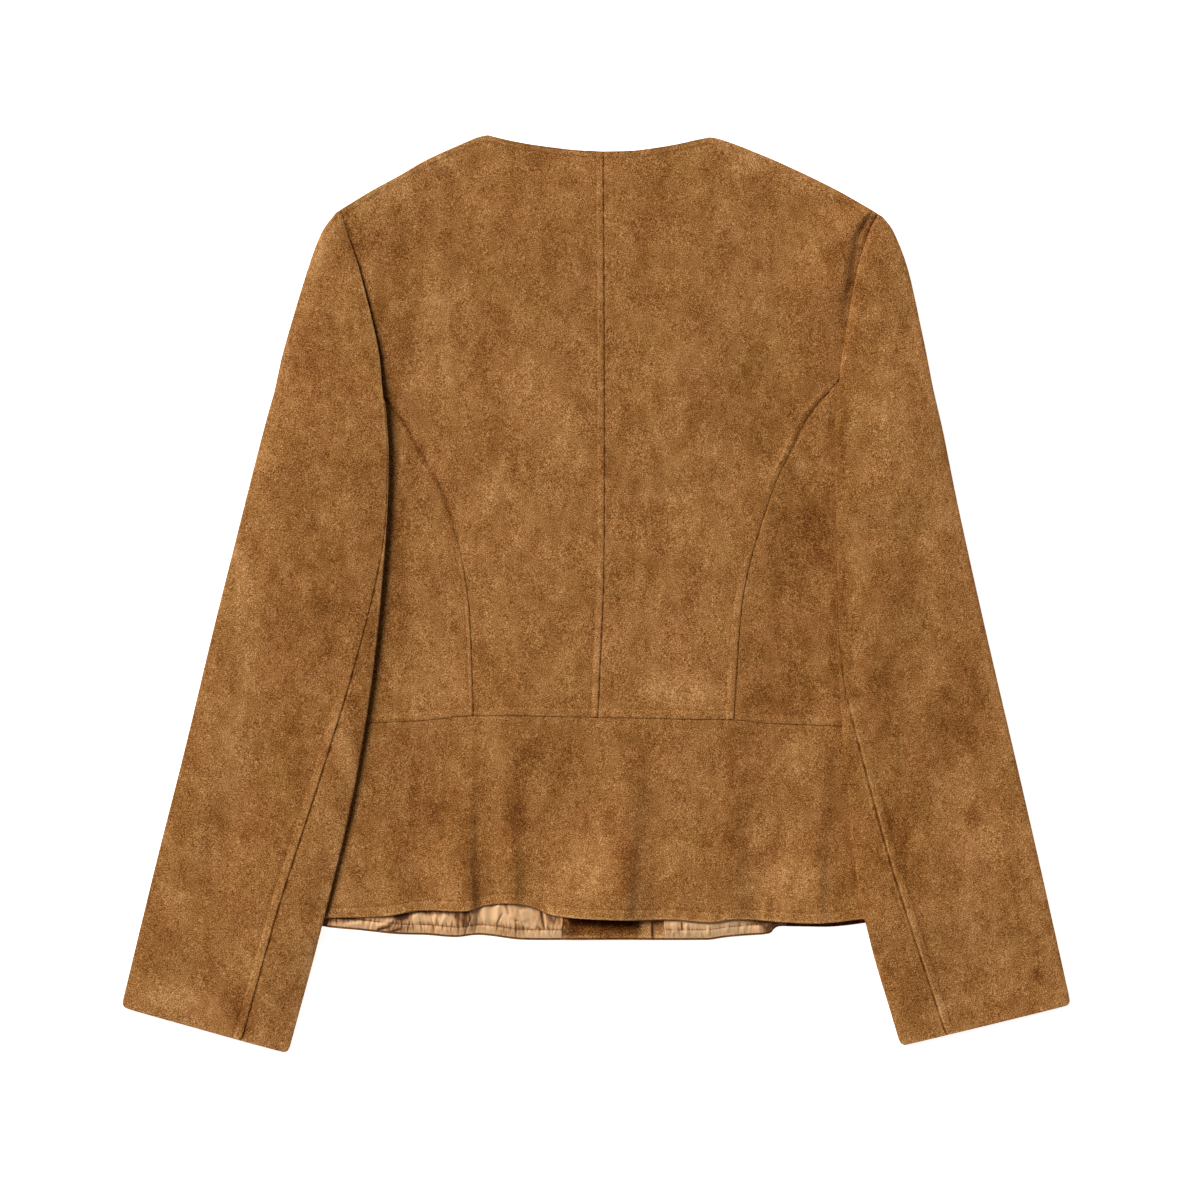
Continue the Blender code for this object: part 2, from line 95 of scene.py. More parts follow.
# Seams and edges of the body, from the neck down or from the centre out.
CENTRE_BACK = ((6, 331.5), (7, 130), (6.5, 13), (4, -46), (2, -93.5))
NECK_LEFT = (
    (6, 331.5), (-11, 332.4), (-20, 333.2), (-37, 335.3), (-53, 337.7), (-69, 340.9), (-81, 344)
)
NECK_RIGHT = ((6, 331.5), (28, 332.1), (44, 334.1), (60, 336.8), (76, 340.4), (86, 342.4))
SHOULDER_LEFT = (
    (-81, 344), (-88, 342.4), (-101, 337), (-127, 325.2), (-147, 313.7), (-167.5, 302.5),
    (-190.6, 288.4)
)
SHOULDER_RIGHT = (
    (86, 342.4), (93, 341), (108, 335.8), (121, 330.6), (134.5, 325), (159, 313.7), (181.5, 302.5),
    (201, 291.4), (212, 284.8)
)
PRINCESS_LEFT = (
    (-141.5, 124), (-126, 96), (-115.5, 77), (-109, 58.5), (-101, 29), (-95, -9), (-92.3, -64),
    (-91.5, -92.5)
)
PRINCESS_RIGHT = (
    (160, 132), (145, 102), (137, 86), (125, 52), (115, 17), (109.5, -16.5), (104, -95.5)
)
SIDE_LEFT = ((-195.5, 10), (-184, -98))
SIDE_RIGHT = ((206.5, 10), (195, -100.5))
PEPLUM_SIDE_LEFT = ((-184, -98), (-199, -170), (-228, -243))
PEPLUM_SIDE_RIGHT = ((195, -100.5), (210, -170), (237, -243))
WAIST = (
    (-184, -98), (-136, -96.5), (-91.5, -92.5), (2, -93.5), (71, -95), (104, -95.5), (129, -98),
    (195, -100.5)
)
BACK_HEM = (
    (-228, -243), (-204, -244), (-157, -242.5), (-133, -238.5), (-97, -238.5), (-82, -234.5),
    (-65, -233), (-50, -235), (-30, -242), (27, -245), (60, -245), (86, -247), (105, -244.7),
    (137, -246.6), (160, -247.6), (179, -247), (201, -244.4), (237, -243)
)
FRONT_EDGE_LEFT = ((30, 247), (40, -98))
FRONT_EDGE_RIGHT = ((-8, 247), (-10, -98))
FRONT_NECK_LEFT = ((-81, 344), (-72, 302), (-42, 266), (0, 250), (30, 247))
FRONT_NECK_RIGHT = ((86, 342.4), (80, 302), (55, 268), (22, 251), (-8, 247))
PEPLUM_EDGE_LEFT = ((40, -98), (42, -260.3))
PEPLUM_EDGE_RIGHT = ((-10, -98), (-10, -260.3))
FRONT_WAIST_LEFT = ((-184, -98), (40, -98))
FRONT_WAIST_RIGHT = ((195, -100.5), (-10, -98))
FRONT_HEM_LEFT = (
    (-228, -243), (-205, -250.3), (-176, -253.4), (-150, -256.2), (-127, -256.9), (-105, -258.5),
    (-90, -256.9), (-78, -257.6), (-60, -260.1), (-42, -260.7), (0, -260.4), (42, -260.3)
)
FRONT_HEM_RIGHT = (
    (237, -243), (201, -248), (188, -249.7), (175, -250.7), (160, -250.6), (147, -250.4),
    (137.5, -250.4), (134, -252.4), (131.8, -255.2), (126, -256.5), (112, -257.4), (97, -258.8),
    (84, -260.6), (-10, -260.3)
)

# Shares of a front peplum's height and width that the lining and the facing cover.
Band = namedtuple("Band", "side cloth start end")
HEM_BAND_TOP, HEM_BAND_FOOT = 0.62, 0.99
BANDS = rows_of(
    Band,
    ("left", "lining", 0.1, 0.752),
    ("left", "facing", 0.752, 1.0),
    ("right", "lining", 0.375, 0.75),
    ("right", "facing", 0.75, 1.0),
)

# A sleeve section from the shoulder to the cuff: the ends of the flat tube, its height, and the
# shares of its width, from the inner end, at which the back and the front seam cross it.
Section = namedtuple("Section", "outer_x outer_y inner_x inner_y height back_seam front_seam")
SLEEVES = {
    "left": rows_of(
        Section,
        (-195.4, 285.2, -190.6, 288.4, 3.4, 0.006, 0.50),
        (-206, 270, -185.5, 270, 4.4, 0.006, 0.30),
        (-216.4, 242, -176, 241, 5.2, 0.006, 0.14),
        (-230, 197, -162.5, 186, 5.5, 0.006, 0.10),
        (-236, 175, -159, 156, 5.5, 0.006, 0.14),
        (-241, 152, -156.3, 130, 5.5, 0.006, 0.32),
        (-249.5, 121, -154.7, 95.5, 5.5, 0.01, 0.62),
        (-264.5, 62, -157.5, 34, 5.5, 0.016, 0.43),
        (-287, -28, -166.5, -59, 5.5, 0.115, 0.19),
        (-308.5, -118, -181.5, -151, 5.5, 0.205, 0.12),
        (-331.2, -208, -203.3, -243.5, 5.5, 0.259, 0.19),
        (-356.1, -310.8, -230.8, -345.7, 5.5, 0.274, 0.21),
    ),
    "right": rows_of(
        Section,
        (216.2, 282.2, 212, 284.8, 3.4, 0.006, 0.50),
        (224.4, 270.2, 205, 271, 4.4, 0.006, 0.30),
        (234.9, 242, 195.5, 241, 5.2, 0.006, 0.14),
        (244.9, 197, 185, 182, 5.5, 0.006, 0.10),
        (249.4, 175, 182, 160, 5.5, 0.006, 0.14),
        (253.9, 152, 179.5, 134, 5.5, 0.006, 0.32),
        (261.4, 119, 179, 100, 5.5, 0.006, 0.56),
        (272.9, 62, 179.5, 42, 5.5, 0.008, 0.40),
        (292.9, -28, 182, -52, 5.5, 0.02, 0.19),
        (313.9, -118, 189, -146, 5.5, 0.126, 0.14),
        (334.5, -208, 199.6, -236, 5.5, 0.22, 0.26),
        (357, -309, 228.9, -340.2, 5.5, 0.267, 0.23),
    ),
}
CAP_END = {"left": 4.42, "right": 4.07}
ARMPIT = 6.0
TUBE_SQUARENESS, CAP_SQUARENESS, TUBE_FLATNESS = 0.42, 0.8, 1.08
SLEEVE_CROWN = 1.0
# How far a sleeve's inner edge stands off the body, at places from the shoulder to the cuff.
EDGE_LIFT = {
    "left": (
        (0, 0), (1, 0.8), (2, 2.4), (3.2, 3.6), (4.4, 4.2), (5.5, 3.6), (7, 2.6), (8, 1.2),
        (9, 0.1), (10, -0.4), (11, -0.4),
    ),
    "right": ((0, 0), (2, 0.3), (4, 0.8), (6, 1.0), (9, 0.6), (11, 0.3)),
}
CUFF_CORNER = 4.5
# Where a piece's edge turns from one seam to the next, as shares of its cells.
BACK_NECK_SHARE = 4 / 9
ARMHOLE_SHARE = 8 / 17
FRONT_ARMHOLE_SHARE = 12 / 21
FRONT_NECK_SHARE = 4 / 21

# A fold runs from its top to its foot and grows downwards. Its two flanks may differ, as at a crisp
# step.
Fold = namedtuple("Fold", "top_x top_y foot_x foot_y left_width right_width height")
PEPLUM_FOLDS = rows_of(
    Fold,
    (-146, -112, -150, -242, 16, 12, 1.2),
    (-96, -102, -94, -238, 22, 4.5, 4.4),
    (-66, -104, -60, -236, 12, 6, 2.6),
    (34, -92, 20, -238, 36, 8, 5.2),
    (70, -112, 60, -245, 16, 18, 1.0),
    (104, -98, 103, -242, 24, 9, 2.6),
    (140, -120, 138, -245, 12, 12, 0.8),
    (168, -100, 166, -242, 22, 7, 2.8),
)

# A crease has soft ends. Its height is that of a ridge, or below zero that of a trough.
Crease = namedtuple("Crease", "start_x start_y end_x end_y half_width height")
BODY_CREASES = rows_of(
    Crease,
    (-122, 265, -118, 130, 15, 0.7),
    (-150, 275, -145, 235, 8, -0.4),
    (-82, 240, -78, 150, 14, -0.4),
    (190, 185, 95, 155, 12, -0.6),
    (-150, 112, -118, 82, 5, -0.5),
    (-145, 96, -125, 66, 4, 0.4),
    (152, 118, 128, 64, 8, 0.8),
    (166, 70, 140, -20, 14, -0.5),
    (30, -20, 34, -88, 14, 0.5),
    (-60, 20, -48, -80, 18, 0.4),
    (60, 240, 75, 140, 22, 0.5),
    (-30, 300, -36, 180, 26, 0.5),
)
SLEEVE_CREASES = rows_of(
    Crease,
    (-236, 130, -262, 10, 16, 0.7),
    (-205, 120, -222, -30, 13, -0.6),
    (-240, -60, -262, -170, 12, -0.6),
    (-282, -90, -310, -220, 14, 0.7),
    (-262, -235, -268, -300, 9, -0.5),
    (212, 150, 216, 40, 15, 0.8),
    (236, 60, 252, -50, 16, -0.7),
    (272, -60, 290, -160, 18, -0.6),
    (228, -120, 250, -260, 12, 0.7),
    (300, -150, 322, -270, 16, 0.7),
    (206, 205, 232, 215, 6, 0.6),
    (204, 188, 226, 190, 5, -0.5),
)
FRONT_CREASES = rows_of(
    Crease,
    (-90, 240, -80, 60, 16, 0.7),
    (-120, 20, -60, -40, 9, 0.6),
    (90, 230, 84, 70, 18, 0.8),
    (60, 40, 110, -30, 10, 0.6),
    (-50, 120, -46, -60, 12, 0.5),
    (60, -120, 66, -180, 9, 0.5),
)

# Places where the nap was brushed to a darker or a lighter shade. Some are painted light and shade
# instead: painted shadow on the body beside the left sleeve and armhole, and painted highlight
# along the shoulders' edges, along the left sleeve's inner fold and beside it by the hem.
NapAndLightMark = namedtuple("NapAndLightMark", "x y half_width half_length lean shade")
NAP_AND_LIGHT_MARKS = rows_of(
    NapAndLightMark,
    # Body, from the neck to the waist.
    (-118, 326, 20, 5, 30, 1.3),
    (-118, 305, 14, 8, 30, -0.4),
    (120, 324, 24, 9, -26, 1.0),
    (-52, 300, 26, 20, 0, -0.4),
    (80, 286, 12, 12, 0, -0.4),
    (96, 280, 22, 14, 0, 0.4),
    (188, 272, 8, 12, -20, 0.8),
    (-147, 268, 10, 22, 0, -0.6),
    (56, 236, 9, 22, 0, -0.5),
    (120, 226, 22, 30, 0, 0.5),
    (198, 224, 8, 12, 0, -1.2),
    (-34, 206, 16, 14, 0, 0.6),
    (-79, 197, 16, 34, 0, -0.5),
    (-120, 195, 14, 48, 0, 0.7),
    (194, 190, 8, 10, 0, -0.7),
    (-50, 184, 10, 12, 0, -0.6),
    (64, 184, 20, 22, 0, 0.6),
    (-142, 178, 9, 26, 12, -0.7),
    (108, 161, 22, 10, 0, -0.7),
    (-103, 152, 12, 30, 0, 0.6),
    (-55, 155, 26, 34, 0, 0.6),
    (46, 150, 18, 10, 0, -0.5),
    (141, 130, 9, 26, 0, -0.9),
    (-22, 112, 20, 22, 0, 0.6),
    (-83, 112, 8, 24, 0, -0.7),
    (150, 102, 7, 22, -28, 1.0),
    (-76, 70, 24, 20, 0, 0.5),
    (80, 75, 34, 44, 0, 0.5),
    (168, 55, 15, 22, -20, -1.0),
    (-146, 36, 7, 46, 0, -0.9),
    (-90, 28, 12, 16, 0, 0.8),
    (150, 10, 24, 80, 0, -0.6),
    (146, -20, 12, 18, 0, 0.9),
    (183, -30, 8, 50, 0, -1.0),
    (-36, -44, 20, 26, 0, 0.5),
    (-127, -64, 8, 9, 0, -0.9),
    (-118, -68, 24, 20, 0, 0.8),
    (64, -72, 34, 15, 0, 0.9),
    (140, -73, 30, 22, 0, -0.8),
    (190, -76, 8, 10, 0, -0.7),
    (194, -125, 8, 14, 0, -0.7),
    (206, -95, 7, 14, 0, 0.7),
    (236, -185, 9, 14, 0, -0.6),
    (255, -148, 10, 12, 0, 0.5),
    (195, 280, 8, 8, 0, 0.5),
    (-139, 242, 10, 12, 0, -0.6),
    (-30, 268, 13, 20, 0, -0.4),
    (138, 270, 8, 10, 0, -0.4),
    (180, 256, 9, 10, 0, -0.5),
    (56, 207, 8, 9, 0, -0.5),
    (-124, 182, 8, 18, 0, -0.5),
    (-72, 152, 8, 12, 0, -0.5),
    (78, 166, 11, 9, 0, 0.5),
    (-148, 106, 6, 12, 0, 0.7),
    (-38, 74, 18, 10, 0, 0.6),
    (33, 70, 10, 8, 0, 0.4),
    (78, 64, 8, 9, 0, -0.5),
    (162, 30, 10, 15, 0, -0.6),
    (-154, 10, 6, 14, 0, -0.5),
    (153, -36, 9, 9, 0, -0.8),
    (-147, -40, 7, 13, 0, -0.9),
    (-20, -72, 18, 9, 0, 0.6),
    # Below the waist.
    (-90, -128, 2.6, 28, 0, -0.7),
    (101, -126, 2.6, 26, 0, -0.6),
    (-117, -114, 18, 14, 0, -0.5),
    (-146, -140, 8, 12, 0, 0.4),
    (-154, -184, 6, 30, 0, -0.6),
    (-24, -150, 34, 44, 0, -0.25),
    (-19, -194, 8, 15, 0, -0.6),
    (16, -214, 7, 14, 0, -0.5),
    (-186, -230, 12, 11, 0, 0.9),
    (56, -196, 9, 12, 0, 0.3),
    (123, -184, 9, 10, 0, 0.5),
    (187, -200, 6, 12, 0, 0.5),
    (40, -112, 8, 14, -20, -0.8),
    (-42, -122, 22, 20, 0, -0.7),
    (30, -128, 12, 22, 0, -0.5),
    (140, -128, 20, 20, 0, 0.5),
    (-47, -140, 12, 16, 0, 0.6),
    (-140, -165, 30, 40, 0, -0.4),
    (70, -165, 22, 40, 0, 0.3),
    (11, -170, 7, 18, 0, -0.9),
    (108, -170, 9, 60, 0, -0.6),
    (-60, -172, 9, 50, 0, -1.0),
    (186, -175, 14, 60, -6, -0.7),
    (-84, -180, 7, 50, 0, -0.6),
    (84, -182, 26, 12, 0, -0.9),
    (-98, -188, 11, 26, 0, -0.9),
    (166, -188, 12, 16, 0, -0.7),
    (23, -205, 7, 34, 6, -0.7),
    (-12, -205, 26, 30, 0, 0.8),
    (-110, -212, 14, 22, 0, 0.4),
    (112, -214, 14, 12, 0, 0.7),
    (142, -214, 18, 18, 0, 0.7),
    # Left sleeve.
    (-207, 262, 12, 34, 18, 0.5),
    (-232, 190, 8, 20, 0, 0.5),
    (-206, 73, 16, 10, 0, -0.5),
    (-242, 55, 16, 30, 0, 0.5),
    (-214, 47, 18, 60, -8, -0.4),
    (-263, -5, 14, 76, -13, 0.6),
    (-204, -14, 9, 30, -10, -0.9),
    (-186, -30, 12, 60, -8, -0.5),
    (-267, -104, 12, 16, 0, 0.6),
    (-229, -110, 20, 44, -10, -0.7),
    (-282, -204, 30, 14, 0, 0.6),
    (-297, -208, 20, 30, -14, -0.3),
    (-222, -258, 9, 24, -12, 0.8),
    (-274, -290, 9, 16, 0, 0.6),
    (-310, -305, 34, 12, 14, 0.8),
    (-267, -312, 12, 22, -14, -0.8),
    (-178, 206, 6, 14, 14, -0.6),
    (-199, -40, 10, 12, 0, -0.5),
    (-238, 20, 30, 70, -10, -0.25),
    (-266, -140, 13, 30, -10, 0.5),
    (-233, -178, 11, 14, 0, -0.6),
    (-201, -166, 6, 56, -14, 0.7),
    (-188, -112, 6, 28, -12, 0.7),
    (-166, -50, 6, 45, -8, -0.6),
    (-176, -112, 5, 34, -12, -0.6),
    (-297, -275, 8, 14, 0, -0.4),
    # Right sleeve.
    (206, 92, 13, 9, 0, 0.7),
    (243, 152, 6, 12, 0, -0.4),
    (230, -104, 9, 15, 0, -0.7),
    (281, -140, 10, 12, 0, 0.3),
    (266, -312, 12, 8, -14, 0.6),
    (250, -328, 11, 7, -14, -0.8),
    (216, 134, 22, 34, 0, 0.6),
    (206, 118, 9, 12, 0, -0.9),
    (182, 120, 8, 42, 0, -1.2),
    (254, 48, 12, 18, 0, 0.6),
    (222, 30, 9, 70, 6, 0.4),
    (198, 20, 12, 38, 0, 0.6),
    (228, 10, 22, 24, 20, -0.8),
    (212, -80, 14, 44, 6, -0.8),
    (273, -92, 24, 34, 0, -0.9),
    (228, -165, 20, 44, 12, -0.9),
    (284, -168, 9, 12, 0, -0.9),
    (285, -182, 24, 28, 0, 0.7),
    (232, -218, 13, 24, 12, -0.9),
    (276, -262, 24, 32, 0, 0.5),
    (306, -262, 10, 24, 6, 0.7),
    (300, -298, 26, 9, -14, 0.8),
    (243, -300, 12, 30, 12, -0.6),
)
CUFF_MARK = NapAndLightMark(331.5, -287, 6.0, 6.0, 0, -2.2)
# Painted shade and painted light on the lining alone: shadows under the back hem and in its
# gathers, and lighter places between them.
LINING_LIGHT_AND_SHADE = rows_of(
    NapAndLightMark,
    (-196, -245, 24, 2.4, 0, -1.3),
    (-145, -242.5, 7, 3.4, 0, -2.2),
    (-150, -251.5, 16, 4.6, 0, -1.0),
    (-128, -244, 10, 3, 0, 0.5),
    (-121, -239, 15, 3.4, 0, -1.3),
    (-100, -240, 11, 6.5, 0, -0.95),
    (-78, -240, 12, 4, 0, 0.5),
    (-33, -241, 10.5, 9, 0, -1.4),
    (-66, -252, 14, 5, 0, -0.5),
    (110, -246, 26, 8, 0, 0.5),
    (-38, -256, 14, 3, 0, 0.9),
    (130, -246.5, 16, 3.6, 0, -2.0),
    (131, -252, 7, 4, 0, -1.8),
    (66, -250, 3, 5, 0, -0.5),
    (84, -250, 26, 7, 0, 0.8),
)

# A record of a piece's cut, as far as it shows: width and length in metres, and area in square
# metres. No piece here is given one.
Cut = namedtuple("Cut", "width length area")


# Shapes worked out from the tables.


def ease(share):
    """0 below 0, 1 above 1, and a soft step between them."""
    share = np.clip(share, 0.0, 1.0)
    return share * share * (3.0 - 2.0 * share)


def step_up(value, start, length):
    """0 up to a start, 1 from a length past it on, and a soft step between them."""
    return ease((value - start) / length)


def step_down(value, end, length):
    """0 from an end on, 1 where it is a length away or more, and a soft step between them."""
    return ease((end - value) / length)


def bump(distance, half_width):
    return np.exp(-((distance / half_width) ** 2))


def read_rows(rows, places, at):
    """The rows' numbers at some places, on a smooth curve that goes through every row."""
    rows, places, at = (np.asarray(values, float) for values in (rows, places, at))
    k = np.clip(np.searchsorted(places, at, side="right") - 1, 0, len(rows) - 2)
    before, after = np.maximum(k - 1, 0), np.minimum(k + 2, len(rows) - 1)
    span = (places[k + 1] - places[k])[..., None]
    share = (at - places[k])[..., None] / span
    start, end = rows[k], rows[k + 1]
    start_slope = (end - rows[before]) / (places[k + 1] - places[before])[..., None] * span
    end_slope = (rows[after] - start) / (places[after] - places[k])[..., None] * span
    return (
        start * (1 + 2 * share) * (1 - share) ** 2
        + end * share**2 * (3 - 2 * share)
        + start_slope * share * (1 - share) ** 2
        - end_slope * share**2 * (1 - share)
    )


def line_length(line):
    line = np.asarray(line, float)
    return np.linalg.norm(np.diff(line, axis=0), axis=1).sum()


def divide(line, shares):
    """Points of a line at shares of its length."""
    line = np.asarray(line, float)
    lengths = np.concatenate([[0], np.cumsum(np.linalg.norm(np.diff(line, axis=0), axis=1))])
    return read_rows(line, lengths, np.asarray(shares, float) * lengths[-1])


def join_lines(shares, meeting, first, second):
    """Points of two lines that meet at a share of the whole, each a function of its own shares."""
    before = shares <= meeting
    return np.concatenate(
        [first(shares[before] / meeting), second((shares[~before] - meeting) / (1 - meeting))]
    )


def cell_shares(length, step=FINE_STEP, start=EDGE_STEPS, end=EDGE_STEPS):
    """Shares of a length, even but close at both ends, for a rolled edge or a pressed seam."""
    first, last = np.array(start) / length, 1 - np.array(end)[::-1] / length
    count = max(round((last[0] - first[-1]) * length / step), 2)
    return np.concatenate([[0], first, np.linspace(first[-1], last[0], count + 1)[1:-1], last, [1]])


def span_patch(top, foot, start, end, across, down):
    """Grid of plan points between four edges, top and foot from start to end: a Coons patch."""
    u, v = across[None, :, None], down[:, None, None]
    corners = (1 - u) * (1 - v) * top[0] + u * (1 - v) * top[-1]
    corners = corners + (1 - u) * v * foot[0] + u * v * foot[-1]
    rows = (1 - v) * top[None] + v * foot[None]
    return rows + (1 - u) * start[:, None] + u * end[:, None] - corners


def close_seams(grid):
    """The grid with its four edges spread a hair, so that neighbouring pieces meet with no gap."""
    grid = grid.copy()
    for axis in (0, 1):
        rows = np.moveaxis(grid, axis, 0)
        for edge, inner in ((0, 3), (-1, -4)):
            outward = rows[edge] - rows[inner]
            reach = np.linalg.norm(outward, axis=1, keepdims=True)
            rows[edge] += outward / np.maximum(reach, 1e-6) * SEAM_OVERLAP
    return grid


Reach = namedtuple("Reach", "top foot start end")


def edge_reach(grid):
    """How far each point of a grid is from each of the grid's four edges, along the cloth."""
    down = np.linalg.norm(np.diff(grid, axis=0), axis=2)
    across = np.linalg.norm(np.diff(grid, axis=1), axis=2)
    from_top = np.concatenate([np.zeros((1, grid.shape[1])), np.cumsum(down, axis=0)])
    from_start = np.concatenate([np.zeros((grid.shape[0], 1)), np.cumsum(across, axis=1)], axis=1)
    return Reach(from_top, from_top[-1:] - from_top, from_start, from_start[:, -1:] - from_start)


def edge_roll(reach, radius):
    """0 at an edge and 1 from a radius inwards, on a quarter circle."""
    nearest = np.minimum.reduce(list(reach))
    return np.sqrt(np.clip(1 - (1 - np.clip(nearest / radius, 0, 1)) ** 2, 0, 1))


# How the cloth lies.


def lap(x):
    """Height of the left front's underside, which climbs over the right front's edge."""
    return LAP_RISE * ease((x - LAP_START_X) / (LAP_FULL_X - LAP_START_X))


def fold_height(folds, x, y):
    total = np.zeros_like(x)
    for fold in folds:
        down = (fold.top_y - y) / (fold.top_y - fold.foot_y)
        off = x - (fold.top_x + (fold.foot_x - fold.top_x) * down)
        width = np.where(off < 0, fold.left_width, fold.right_width)
        total += fold.height * ease(down) * bump(off, width)
    return total


def crease_height(creases, x, y):
    total = np.zeros_like(x)
    for crease in creases:
        along = np.array([crease.end_x - crease.start_x, crease.end_y - crease.start_y])
        length = np.linalg.norm(along)
        along = along / length
        off_x, off_y = x - crease.start_x, y - crease.start_y
        share = (off_x * along[0] + off_y * along[1]) / length
        across = off_y * along[0] - off_x * along[1]
        height = crease.height * ease(share / SOFT_END) * ease((1 - share) / SOFT_END)
        total += height * bump(across, crease.half_width)
    return total


def undulation(x, y, seed=11, waves=16):
    """Low uneven waves of soft cloth, never more than about half a millimetre."""
    chance = np.random.default_rng(seed)
    total = np.zeros_like(x)
    for _ in range(waves):
        wavelength = chance.uniform(*UNDULATION_LENGTHS)
        turn, start = chance.uniform(0, math.pi), chance.uniform(0, 2 * math.pi)
        pace = 2 * math.pi / wavelength
        wave = np.sin(pace * (x * math.cos(turn) + y * math.sin(turn)) + start)
        total += wavelength / UNDULATION_LENGTHS[1] * wave
    return total * UNDULATION_HEIGHT


def hem_line_y(x):
    """Where the back hem crosses a place across the jacket."""
    return read_rows(BACK_HEM, [point[0] for point in BACK_HEM], x)[..., 1]


def hem_lift(x, y):
    """The back hem arches up over the facings, and less at its two ends."""
    down = step_down(y, -180, 64)
    facings = 4.6 * step_up(x, -42, 26) * step_down(x, 50, 24)
    left_end = 1.6 * bump(x + 146, 14)
    right_end = 3.0 * step_up(x, 118, 30)
    return down * (facings + left_end + right_end)


def back_height(x, y):
    """Height of the back's underside, which lies on the front's edges and higher over the lap."""
    reach = abs(x - CENTRE_X)
    rise = 1 - ease((reach - BACK_FULL_REACH) / (BACK_EDGE_REACH - BACK_FULL_REACH))
    shoulder_y = SHOULDER_TOP_Y - SHOULDER_SLOPE * np.maximum(reach - SHOULDER_REACH, 0.0)
    fall = step_down(y, shoulder_y, SHOULDER_FALL)
    hem = step_down(y, HEM_RISE_TOP_Y, HEM_RISE_LENGTH)
    drape = crease_height(BODY_CREASES, x, y) + undulation(x, y) + fold_height(PEPLUM_FOLDS, x, y)
    lie = LAYER + BACK_RISE * rise * fall + HEM_RISE * hem
    return lie + np.maximum(drape + valley_height(x, y), DRAPE_FLOOR) + hem_lift(x, y)


def armhole_reach(side, x, y):
    """How far the body's points lie in from an armhole, below 0 under the sleeve."""
    rows = SLEEVES[side][5::-1]
    edge_x = np.interp(y, [row.inner_y for row in rows], [row.inner_x for row in rows])
    return 0.93 * (x - edge_x if side == "left" else edge_x - x)


def valley_height(x, y):
    """How proud the back stands beside the right armhole, with a lip near the shoulder."""
    reach = armhole_reach("right", x, y)
    fade = step_up(y, 190, 45) * step_down(y, 292, 10)
    fall_start = 0.8 + 3.4 * step_up(y, 236, 30) * (1 - 0.75 * step_up(y, 266, 20))
    fall = step_up(reach, fall_start, 7.5) * bump(np.maximum(reach - 11, 0), 24)
    lip = 0.8 * bump(reach - 2.4, 1.6) * step_up(y, 256, 15)
    return (3.3 * fall + lip) * fade


def section_at(side, at):
    rows = read_rows(SLEEVES[side], range(len(SLEEVES[side])), at)
    return Section(*np.moveaxis(rows, -1, 0))


def row_width(row):
    return np.hypot(row.outer_x - row.inner_x, row.outer_y - row.inner_y)


def sleeve_plan(side, at, share):
    """Plan points of a sleeve, at shares of its width from the inner end."""
    row = section_at(side, at)
    return np.stack(
        [
            row.inner_x + (row.outer_x - row.inner_x) * share,
            row.inner_y + (row.outer_y - row.inner_y) * share,
        ],
        axis=-1,
    )


def under_end(side, share):
    """Where the under sleeve's top end crosses, from the armpit at 0 to the back armhole at 1."""
    return CAP_END[side] + (ARMPIT - CAP_END[side]) * (1 - share) ** 1.3


def lower_armhole(side, shares):
    """The hidden stretch of the back armhole, from the sleeve's inner fold to the armpit."""
    shares = np.asarray(shares, float)
    armpit_share = section_at(side, ARMPIT).front_seam
    return sleeve_plan(side, under_end(side, 1 - shares), armpit_share * shares)


def armpit_point(side):
    return lower_armhole(side, [1.0])[0]


def princess_line(side):
    table = PRINCESS_LEFT if side == "left" else PRINCESS_RIGHT
    return np.array([sleeve_plan(side, CAP_END[side], 0.0), *table])


def side_line(side):
    return np.array([armpit_point(side), *(SIDE_LEFT if side == "left" else SIDE_RIGHT)])


def peplum_side_line(side):
    return np.array(PEPLUM_SIDE_LEFT if side == "left" else PEPLUM_SIDE_RIGHT, float)


def waist_between(start_x, end_x, shares):
    xs = start_x + (end_x - start_x) * np.asarray(shares)
    return np.stack([xs, read_rows(WAIST, [point[0] for point in WAIST], xs)[..., 1]], axis=-1)


def outline_under_sleeve(side):
    """The body's edge where a sleeve lies over it, closed through the middle of the back."""
    shares = np.linspace(0, 1, 7)
    edge = np.concatenate(
        [
            lower_armhole(side, shares),
            divide(side_line(side), shares[3::3]),
            divide(peplum_side_line(side), shares[3::3]),
        ]
    )
    corner_x, top_y = edge[-1][0], edge[0][1]
    middle = [[corner_x, HEM_FOOT_Y], [CENTRE_X, HEM_FOOT_Y], [CENTRE_X, top_y]]
    return np.concatenate([edge, middle])


def depth_inside(outline, x, y):
    """Distance of points from a closed outline, above 0 inside it."""
    points = np.stack([np.ravel(x), np.ravel(y)], axis=-1)
    distance = np.full(len(points), np.inf)
    inside = np.zeros(len(points), bool)
    for start, end in zip(outline, np.roll(outline, -1, axis=0)):
        step = end - start
        to_point = points - start
        share = np.clip(to_point @ step / (step @ step), 0, 1)
        distance = np.minimum(distance, np.linalg.norm(to_point - step * share[:, None], axis=1))
        crosses = (start[1] > points[:, 1]) != (end[1] > points[:, 1])
        if step[1]:
            inside ^= crosses & (points[:, 0] < start[0] + to_point[:, 1] / step[1] * step[0])
    return np.where(inside, distance, -distance).reshape(np.shape(x))


OUTLINES = {side: outline_under_sleeve(side) for side in SLEEVES}


def sleeve_rest_height(side, x, y):
    """Height of what a sleeve lies on, and how far its upper wall bridges the step in it."""
    depth = depth_inside(OUTLINES[side], x, y)
    step = step_up(depth, -SLEEVE_STEP_START, SLEEVE_STEP_LENGTH)
    bridge_length = SLEEVE_BRIDGE - SLEEVE_STEP_START + SLEEVE_STEP_LENGTH
    bridge = ease((depth + SLEEVE_BRIDGE) / bridge_length)
    body = back_height(x, y) + VELOUR + SLEEVE_CLEARANCE
    return step * body, (bridge - step) * body


def edge_lift(side, at):
    rows = EDGE_LIFT[side]
    return read_rows([row[1:] for row in rows], [row[0] for row in rows], at)[..., 0]


